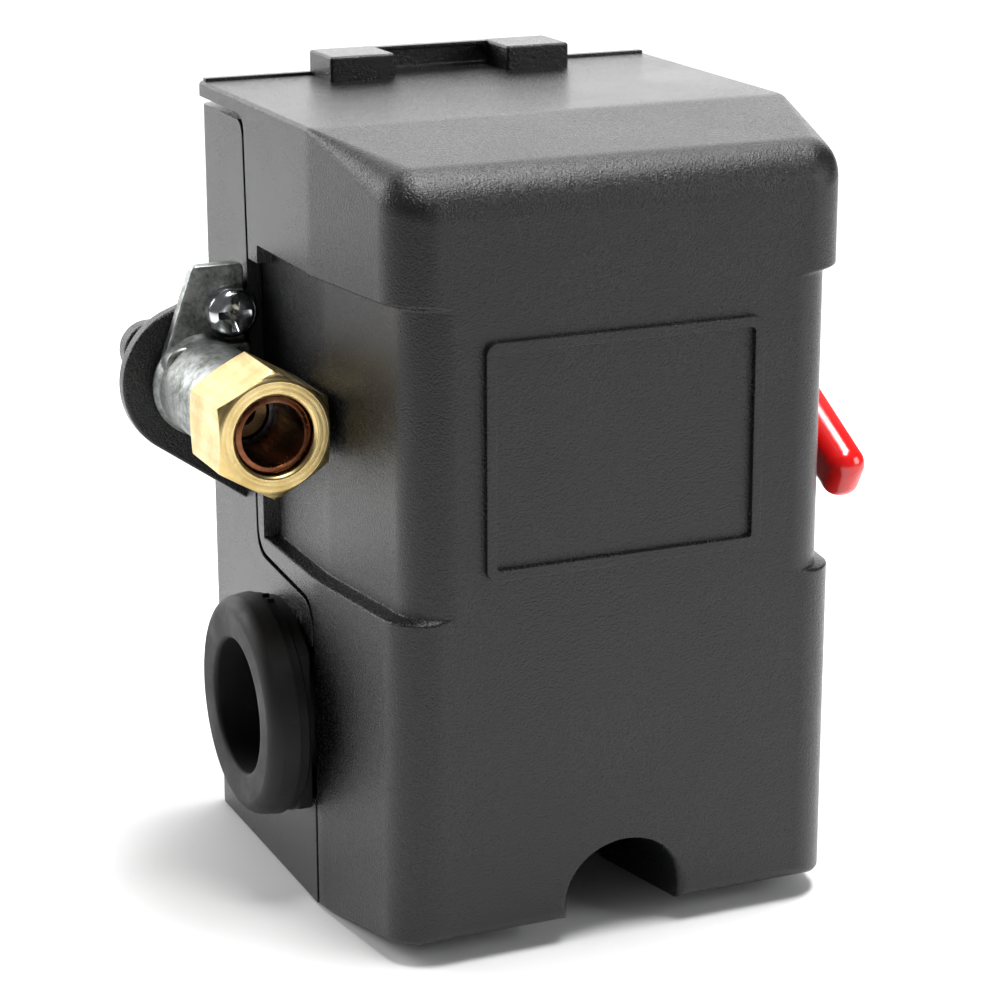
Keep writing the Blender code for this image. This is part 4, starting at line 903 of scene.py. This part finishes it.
def rear_base():
    """The open box behind the parting line, with its holes, its lug and the window for the valve's arm."""
    plan = rounded(
        [(-HALF, -PAST, 0), (HALF, -PAST, 0), (HALF, DEPTH, REAR_RADIUS), (-HALF, DEPTH, REAR_RADIUS)], 10
    )
    side = behind_parting(PARTING_GAP, BASE_TOP)
    base = common(
        prism(side, "X", -HALF - PAST, HALF + PAST), prism(plan, "Z", -PAST, HEIGHT + PAST)
    )
    inside = (-HALF + WALL, HALF - WALL)
    base = cut(base, block(inside, (-PAST, DEPTH - WALL), (FLOOR, BASE_TOP - WALL)))
    base = cut(
        base,
        grommet_slot(1),
        grommet_slot(-1),
        rod(PORT_HEX * 2 / math.sqrt(3) + GAP, "Z", 0, PORT_Y, -PAST, FLOOR + PAST, 64),
        countersink(-BASE_SCREW_X),
        countersink(BASE_SCREW_X),
        rod(SHAFT_RADIUS + GAP, "X", LEVER_Y, LEVER_Z, HALF - WALL - PAST, HALF + PAST),
        block(
            (-HALF - PAST, -HALF + WALL + PAST),
            (ARM_FRONT - WINDOW_FRONT, DEPTH - WALL - WINDOW_REAR),
            (ARM_Z - ARM_RADIUS - WINDOW_BELOW, ARM_Z + ARM_RADIUS + WINDOW_ABOVE),
        ),
    )
    base = softened(base, EDGE, 3)
    base = cut(
        joined(base, valve_lug()),
        rod(SCREW_HOLE, "Y", *EAR_SCREW, LUG_FRONT - PAST, BOSS_REAR + PAST),
        rod(EAR_HEAD + 2 * GAP, "Y", *EAR_SCREW, SPLIT_MID - PAST, EAR_FRONT),
        rod(VALVE_PIN_HOLE, "Y", VALVE_X, VALVE_Z, LUG_FRONT - PAST, LUG_REAR + PAST),
    )
    return piece("base_shell", base, "black_plastic", "case", "rear_base")


def grommet(side, name):
    """A rubber grommet: its flange, a collar that ends beside the parting line, and mould nibs."""
    inside, outside = HALF - WALL - GAP, HALF + GAP
    face = HALF + GROMMET_PROUD
    tail = inside - GROMMET_LIP
    lip = GROMMET_NECK + GROMMET_HOLD
    profile = [(GROMMET_BORE, tail), (lip, tail), (lip, inside), (GROMMET_NECK, inside)]
    profile.append((GROMMET_NECK, outside + 1.6))
    for less, out in ((0.5, 1.6), (0.3, 1.8), (0.25, 2.9), (0.0, 3.0), (0.0, 3.3)):
        profile.append((GROMMET_FLANGE - less, outside + out))
    rim_middle = (face - FLANGE_ROUND, GROMMET_FLANGE - FLANGE_ROUND - 0.2)
    bore_middle = (face - BORE_ROUND - 0.2, GROMMET_BORE + BORE_ROUND)
    profile += [(v, u) for u, v in arc(rim_middle, FLANGE_ROUND, 80, 6, 12)]
    profile.append((GROMMET_BORE + 1.6, face - 0.05))
    profile += [(v, u) for u, v in arc(bore_middle, BORE_ROUND, 0, -90, 5)]
    made = turned([(radius, side * along) for radius, along in profile], "X", GROMMET_Y, GROMMET_Z, 112)

    front = SPLIT_LOW + 2 * GAP
    reach = GROMMET_FLANGE - 0.7
    drop = math.degrees(math.acos((GROMMET_Y - front) / reach))
    corner = 0.8
    outline = arc((GROMMET_Y, GROMMET_Z), reach, 180 - drop, -105, 60)
    outline.append((GROMMET_Y - 6.2, GROMMET_Z - reach + 0.9))
    outline += arc((front + corner, GROMMET_Z - reach + 2.2 + corner), corner, 270, 180, 4)
    collar = softened(prism(outline, "X", side * outside, side * (outside + COLLAR_DEPTH)), 0.25, 2, 45)
    hole_ends = (side * (outside - 1), side * (outside + PAST))
    hole = rod(GROMMET_NECK - GAP, "X", GROMMET_Y, GROMMET_Z, *hole_ends, 96)
    made = joined(made, cut(collar, hole))

    nib_ring = GROMMET_FLANGE - 0.35
    nib_ends = (side * (outside + 1.7), side * (outside + 2.6))
    for angle in NIB_ANGLES:
        turn = math.radians(angle)
        y, z = GROMMET_Y + nib_ring * math.cos(turn), GROMMET_Z + nib_ring * math.sin(turn)
        made = joined(made, rod(NIB_RADIUS, "X", y, z, *nib_ends, 16))
    return piece(f"{name}_fine", made, "black_rubber", "case", name)


# ---------------------------------------------------------------- unloader valve


def unloader_body():
    """The die-cast valve body: a round barrel that blends into its flat ear."""
    inner = -HALF - GAP
    top = EAR_SCREW[1] + EAR_OVER
    low = VALVE_Z - VALVE_RADIUS - VALVE_FOOT
    ear_side = VALVE_X - 5.2
    ear = rounded(
        [
            (inner, low, 0.8),
            (inner, top, 0.8),
            (VALVE_X - 1.0, top, 0.8),
            (ear_side, VALVE_Z + 3.5, 2.0),
            (ear_side, VALVE_Z - 2.0, 2.0),
            (VALVE_X, low, 2.0),
        ]
    )
    body = softened(prism(ear, "Y", EAR_FRONT, EAR_REAR), 0.3, 3, 30)
    pad_side, pad_low, pad_top = VALVE_X - 5.6, VALVE_Z - 3.0, VALVE_Z + VALVE_RADIUS - 0.6
    pad = rounded(
        [
            (pad_side, pad_low, 1.5),
            (inner, pad_low, 0.5),
            (inner, pad_top, 0.8),
            (pad_side, pad_top, 2.5),
        ]
    )
    pad = softened(prism(pad, "Y", EAR_FRONT - 2.2, EAR_FRONT + BITE), 0.9, 4, 30)

    neck, thread, radius = NUT_REAR + GAP, THREAD_RADIUS, VALVE_RADIUS
    thread_end = NUT_FRONT + 4.1
    barrel = [(0, thread_end), (thread - 0.5, thread_end), (thread, thread_end + 0.5), (thread, neck)]
    barrel += [(radius - 0.5, neck), (radius, neck + 0.5), (radius, EAR_FRONT - 1.6)]
    barrel += [(radius + 0.15, EAR_FRONT - 0.7), (radius + 0.5, EAR_FRONT - 0.05)]
    barrel += [(radius + 0.5, EAR_FRONT + 0.4), (radius, EAR_FRONT + 0.6)]
    barrel += [(radius, EAR_REAR - 0.4), (0, EAR_REAR - 0.4)]
    body = joined(body, pad, turned(barrel, "Y", VALVE_X, VALVE_Z, 96))

    clip = block((inner, inner + 4 * PAST), (neck - 1.0, EAR_REAR + PAST), (0, HEIGHT))
    socket = SLEEVE_RADIUS + GAP
    seat = EAR_FRONT - 2.4
    bore = [(0, NUT_FRONT), (socket, NUT_FRONT), (socket, neck), (VALVE_CHAMBER, neck)]
    bore += [(VALVE_CHAMBER, seat), (VALVE_PIN_HOLE, seat), (VALVE_PIN_HOLE, EAR_REAR + PAST)]
    bore.append((0, EAR_REAR + PAST))
    hole = rod(SCREW_HOLE, "Y", *EAR_SCREW, EAR_FRONT - PAST, EAR_REAR + PAST, 32)
    recess = rod(EAR_HEAD + 0.5, "Y", *EAR_SCREW, EAR_FRONT - PAST, EAR_FRONT, 48)
    body = cut(body, clip, turned(bore, "Y", VALVE_X, VALVE_Z, 64), hole, recess)
    return piece("valve_casting", body, "die_cast", "case", "unloader_body", smooth=40)


def cross_recess(crown):
    """The cutters of a cross recess: two arms that narrow with depth and a cone in the middle."""
    long_half, short_half, depth = 2.35, 0.5, 1.6
    arms = []
    for upright in (False, True):
        sections = []
        for share, y in ((1.15, crown - 0.5), (1.0, crown), (0.42, crown + depth)):
            size = (2 * long_half * share, 2 * short_half * (1 - (1 - share) * 0.3))
            if upright:
                size = (size[1], size[0])
            sections.append([(x, y, z) for x, z in round_rectangle(EAR_SCREW, size, 0.12, 2)])
        arms.append(loft(sections))
    cone = [(0, crown - 0.5), (0.95, crown - 0.5), (0.35, crown + 1.7), (0, crown + 1.7)]
    arms.append(turned(cone, "Y", *EAR_SCREW, 24))
    return arms


def unloader_screw():
    """A pan-head screw with a tapered cross recess."""
    seat = EAR_FRONT - 0.08
    crown = EAR_FRONT - GAP - 2.6
    rim, shoulder_radius = seat - 0.9, 1.7
    profile = [(0, BOSS_REAR), (SCREW_RADIUS - 0.4, BOSS_REAR), (SCREW_RADIUS, BOSS_REAR - 0.4)]
    profile += [(SCREW_RADIUS, seat), (EAR_HEAD - 0.15, seat), (EAR_HEAD, seat - 0.15), (EAR_HEAD, rim)]
    steps = 8
    for step in range(1, steps + 1):
        angle = math.pi / 2 * step / steps
        radius = EAR_HEAD - shoulder_radius + shoulder_radius * math.cos(angle)
        profile.append((radius, rim - (rim - crown) * math.sin(angle)))
    profile.append((0, crown))
    screw = cut(turned(profile, "Y", *EAR_SCREW, 64), *cross_recess(crown))
    return piece("valve_screw", softened(screw, 0.06, 2, 40), "bright_steel", "case", "unloader_screw")


def tube_nut():
    """The brass nut: a hexagon with chamfered corners, bored for the sleeve and for the valve's thread."""
    point = NUT_FLATS / math.sqrt(3) + 0.2
    face = NUT_FLATS / 2 - 0.2
    drop = (point - face) * math.tan(math.radians(30))
    form = [(0, NUT_FRONT), (face, NUT_FRONT), (point, NUT_FRONT + drop)]
    form += [(point, NUT_REAR - drop), (face, NUT_REAR), (0, NUT_REAR)]
    nut = prism(hexagon((VALVE_X, VALVE_Z), NUT_FLATS), "Y", NUT_FRONT - 1.0, NUT_REAR + 1.0)
    nut = common(nut, turned(form, "Y", VALVE_X, VALVE_Z, 128))
    shoulder_y = NUT_FRONT + 3.1
    wide = THREAD_RADIUS + GAP
    chamfer = 0.35
    entry = NUT_BORE + chamfer
    bore = [(0, NUT_FRONT - PAST), (entry, NUT_FRONT - PAST), (entry, NUT_FRONT)]
    bore += [(NUT_BORE, NUT_FRONT + chamfer), (NUT_BORE, shoulder_y), (wide, shoulder_y + 0.7)]
    bore += [(wide, NUT_REAR - 0.5), (wide + 0.5, NUT_REAR), (wide + 0.5, NUT_REAR + PAST)]
    bore.append((0, NUT_REAR + PAST))
    nut = cut(nut, turned(bore, "Y", VALVE_X, VALVE_Z, 96))
    return piece("nut_fine", softened(nut, 0.14, 2, 25), "brass", "case", "tube_nut", smooth=24)


def tube_sleeve():
    """The thin tube inside the nut, its front edge rolled over."""
    front, rear = NUT_FRONT + SLEEVE_BACK, NUT_REAR
    inner = SLEEVE_RADIUS - SLEEVE_WALL
    profile = [(inner + 0.1, front - 0.02), (SLEEVE_RADIUS - 0.3, front)]
    profile += [(SLEEVE_RADIUS - 0.08, front + 0.1), (SLEEVE_RADIUS, front + 0.3)]
    profile += [(SLEEVE_RADIUS, rear), (inner, rear), (inner, front + 0.12)]
    sleeve = turned(profile, "Y", VALVE_X, VALVE_Z, 96)
    return piece("sleeve_fine", sleeve, "copper", "case", "tube_sleeve")


def unloader_arm():
    """The arm on the rocker: an upright strip and a round-ended bar that reaches behind the lug."""
    low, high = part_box("unloader_arm")
    edge_x = high.x / MM - MIDDLE
    strip_x = (edge_x - 2.2, edge_x)
    strip = block(strip_x, (ARM_FRONT, ARM_FRONT + ARM_THICK), (low.z / MM, ARM_Z + ARM_RADIUS - 0.6))
    start = strip_x[1] - BITE
    outline = [(start, ARM_Z - ARM_RADIUS + 1.2), (start, ARM_Z + ARM_RADIUS)]
    outline += arc((ARM_TIP, ARM_Z), ARM_RADIUS, 90, 270, 32)
    bar = softened(prism(outline, "Y", ARM_FRONT + 0.1, ARM_FRONT + ARM_THICK - 0.1), LARGE_EDGE, 3, 50)
    arm = joined(softened(strip, 0.25, 2), bar)
    return piece("arm_fine", arm, "black_plastic", "rocker", "unloader_arm")


# ---------------------------------------------------------------- lever


def sloped(item):
    """Turns a shape made along its own axes down to the lever's slope about its pivot."""
    pivot = Matrix.Translation((0, LEVER_Y, LEVER_Z))
    item.data.transform(pivot @ Matrix.Rotation(math.radians(LEVER_SLOPE), 4, "X") @ pivot.inverted())
    return item


def lever_shaft():
    """The shaft through the case, necked for the arm and closed by a domed head."""
    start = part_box("lever_shaft")[0].x / MM - MIDDLE
    head = LEVER_X + LEVER_THICK + GAP
    neck = LEVER_X - GAP
    rim = head + 0.4
    profile = [(0, start), (SHAFT_RADIUS - 0.3, start), (SHAFT_RADIUS, start + 0.3), (SHAFT_RADIUS, neck)]
    profile += [(SHAFT_NECK, neck), (SHAFT_NECK, head), (SHAFT_HEAD, head), (SHAFT_HEAD, rim)]
    steps = 6
    for step in range(1, steps + 1):
        angle = math.pi / 2 * step / steps
        profile.append((SHAFT_HEAD * math.cos(angle), rim + 0.9 * math.sin(angle)))
    shaft = turned(profile, "X", LEVER_Y, LEVER_Z, 64)
    return piece("shaft_fine", shaft, "zinc_plate", "lever", "lever_shaft")


def lever_arm():
    """The flat arm with its round hub."""
    outer = LEVER_X + LEVER_THICK
    tip = LEVER_Y - LEVER_LENGTH
    low, high = LEVER_Z - LEVER_HALF, LEVER_Z + LEVER_HALF
    radius = LEVER_HALF - 0.4
    outline = rounded([(tip, low, radius), (LEVER_Y, low, 0), (LEVER_Y, high, 0), (tip, high, radius)], 10)
    arm = rod(LEVER_HUB, "X", LEVER_Y, LEVER_Z, LEVER_X, outer, 96)
    arm = joined(arm, prism(outline, "X", LEVER_X + 0.02, outer - 0.02))
    arm = cut(arm, rod(SHAFT_NECK + GAP, "X", LEVER_Y, LEVER_Z, 0, 2 * HALF, 48))
    return piece("arm_plate", sloped(softened(arm, 0.2, 2, 50)), "zinc_plate", "lever", "lever_arm")


def lever_grip():
    """The dipped sleeve over the arm's end, round at its tip."""
    outer = LEVER_X + LEVER_THICK
    tip = LEVER_Y - LEVER_LENGTH
    front = tip - GRIP_WALL - GAP
    rear = front + GRIP_LENGTH
    side = (LEVER_X - GAP - GRIP_WALL, outer + GAP + GRIP_WALL)
    sleeve = softened(block(side, (front, rear), (LEVER_Z - GRIP_HALF, LEVER_Z + GRIP_HALF)), 2.5, 8)
    height = (LEVER_Z - LEVER_HALF - GAP, LEVER_Z + LEVER_HALF + GAP)
    pocket = block((LEVER_X - GAP, outer + GAP), (tip - GAP, rear + PAST), height)
    return piece("grip_fine", sloped(cut(sleeve, pocket)), "red_vinyl", "lever", "lever_grip", smooth=40)


# ---------------------------------------------------------------- springs and screws inside


def to_half(value):
    """The nearest half millimetre."""
    return round(value * 2) / 2


def springs():
    """Round wire in place of each faceted spring, on the same axis and between the same ends."""
    kinds = (
        ("range_spring", 6.2, 0.9, 7),
        ("differential_spring", 3.3, 0.5, 8),
        ("snap_spring", 2.2, 0.4, 6),
        ("unloader_spring", 2.5, 0.45, 6),
    )
    for name, radius, wire, turns in kinds:
        low, high = (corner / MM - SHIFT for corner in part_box(name))
        if name == "unloader_spring":
            made = coil("Y", VALVE_X, VALVE_Z, radius, wire, low.y, high.y, turns)
        else:
            middle = (low + high) / 2
            made = coil("Z", to_half(middle.x), to_half(middle.y), radius, wire, low.z, high.z, turns)
        piece(f"{name}_wire", made, "spring_steel", "case", name, smooth=60)


def slotted_screw(name, axis, look):
    """A screw with a domed, slotted head, in the box of its CAD node."""
    low, high = (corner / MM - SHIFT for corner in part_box(name))
    across, head = (low.x + high.x) / 2, (high.x - low.x) / 2
    if axis == "Z":
        up, tip, crown, way = (low.y + high.y) / 2, low.z, high.z, 1
    else:
        up, tip, crown, way = (low.z + high.z) / 2, high.y, low.y, -1
    rim, dome, shoulder_radius = 1.2, 1.05, 1.1
    seat = crown - way * (rim + dome)
    profile = [(0, tip), (SCREW_RADIUS - 0.5, tip), (SCREW_RADIUS, tip + way * 0.6), (SCREW_RADIUS, seat)]
    profile += [(head, seat), (head, seat + way * rim)]
    steps = 6
    for step in range(1, steps + 1):
        angle = math.pi / 2 * step / steps
        radius = head - shoulder_radius + shoulder_radius * math.cos(angle)
        profile.append((radius, seat + way * (rim + dome * math.sin(angle))))
    profile.append((0, crown))
    ends = sorted((crown - way * 0.9, crown + way * PAST))
    slot = prism(round_rectangle((across, up), (2 * head + PAST, 0.8), 0), axis, *ends)
    screw = cut(turned(profile, axis, across, up, 40), slot)
    return piece(f"{name}_fine", softened(screw, 0.07, 2, 40), look, "case", name)


def slotted_screws():
    """The flange, earth, block and terminal screws."""
    for number in range(1, 5):
        slotted_screw(f"flange_screw_{number}", "Z", "zinc_plate")
    for side in ("left", "right"):
        slotted_screw(f"ground_screw_{side}", "Z", "green_screw")
    for side in ("left", "right"):
        slotted_screw(f"block_screw_{side}", "Y", "zinc_plate")
    for number in range(1, 5):
        slotted_screw(f"terminal_screw_{number}", "Y", "zinc_plate")


# ---------------------------------------------------------------- scene


def dress_frame():
    """Gives the CAD nodes that stay their materials."""
    for entry in frame["record"]["subparts"]:
        node, look = entry["node"], entry["material_slot"]
        item = bpy.data.objects.get(node)
        if item is None or item.type != "MESH":
            continue
        made = LOOKS[look]()
        if (node.startswith("terminal_") and look == "brass") or node == "spring_retainer":
            made = plain_brass()
        for slot in item.material_slots:
            slot.material = made


def floor():
    """A pale plane large enough to fill every view down onto the switch."""
    reach, level = 4.0, -0.0002
    bm = bmesh.new()
    places = ((-reach, -reach), (reach, -reach), (reach, reach), (-reach, reach))
    bm.faces.new([bm.verts.new((x, y, level)) for x, y in places])
    item = shape(bm)
    item.name = "floor"
    m = Nodes("pale_floor")
    m.colours(m.noise(3.0, 2.0), (0.3, (0.86, 0.86, 0.86)), (0.7, (0.89, 0.89, 0.89)))
    m.rough(m.ramp(m.noise(40, 2.0), 0.6, 0.7))
    item.data.materials.append(m.material)


def area(name, place, size, power):
    """A rectangular lamp that points at the switch and that the camera doesn't see."""
    lamp = bpy.data.lights.new(name, "AREA")
    lamp.shape = "RECTANGLE"
    lamp.size, lamp.size_y = size
    lamp.energy = power
    item = bpy.data.objects.new(name, lamp)
    item.location = place
    aim = Vector((0, 0, 0.05))
    item.rotation_euler = (aim - Vector(place)).to_track_quat("-Z", "Y").to_euler()
    item.visible_camera = False
    bpy.context.scene.collection.objects.link(item)


def studio():
    """A soft box overhead, a bright wall behind and a fill lamp on each side, in a dim white room."""
    world = bpy.data.worlds.new("studio")
    bpy.context.scene.world = world
    world.use_nodes = True
    background = world.node_tree.nodes["Background"]
    background.inputs["Color"].default_value = (1.0, 1.0, 1.0, 1)
    background.inputs["Strength"].default_value = 0.11
    area("overhead", (0.09, -0.05, 0.70), (0.46, 0.22), 8.0)
    area("wall", (0.1, 1.5, 0.75), (3.3, 1.5), 32.0)
    area("left", (-0.8, 0.75, 0.50), (0.6, 0.6), 8.0)
    area("right", (0.9, -0.75, 0.45), (0.5, 0.6), 6.0)


def camera():
    """A long lens in front of the switch, to its left and a little above it."""
    lens = bpy.data.cameras.new("camera")
    lens.lens = 106.4
    lens.sensor_width = 36.0
    lens.clip_start = 0.01
    lens.clip_end = 20.0
    item = bpy.data.objects.new("camera", lens)
    down, roll, around = 16.736, 0.086, -23.704
    item.location = (-0.1457, -0.3345, 0.1582)
    item.rotation_euler = (math.radians(90 - down), math.radians(roll), math.radians(around))
    bpy.context.scene.collection.objects.link(item)
    bpy.context.scene.camera = item


def corners(bounds):
    """Bounds as plain lists of numbers."""
    return [[float(number) for number in corner] for corner in bounds]


front_cover()
rear_base()
grommet(-1, "grommet_left")
grommet(1, "grommet_right")
unloader_body()
unloader_screw()
tube_nut()
tube_sleeve()
unloader_arm()
lever_shaft()
lever_arm()
lever_grip()
springs()
slotted_screws()
dress_frame()
floor()
studio()
camera()
bpy.context.scene.view_settings.view_transform = "Standard"
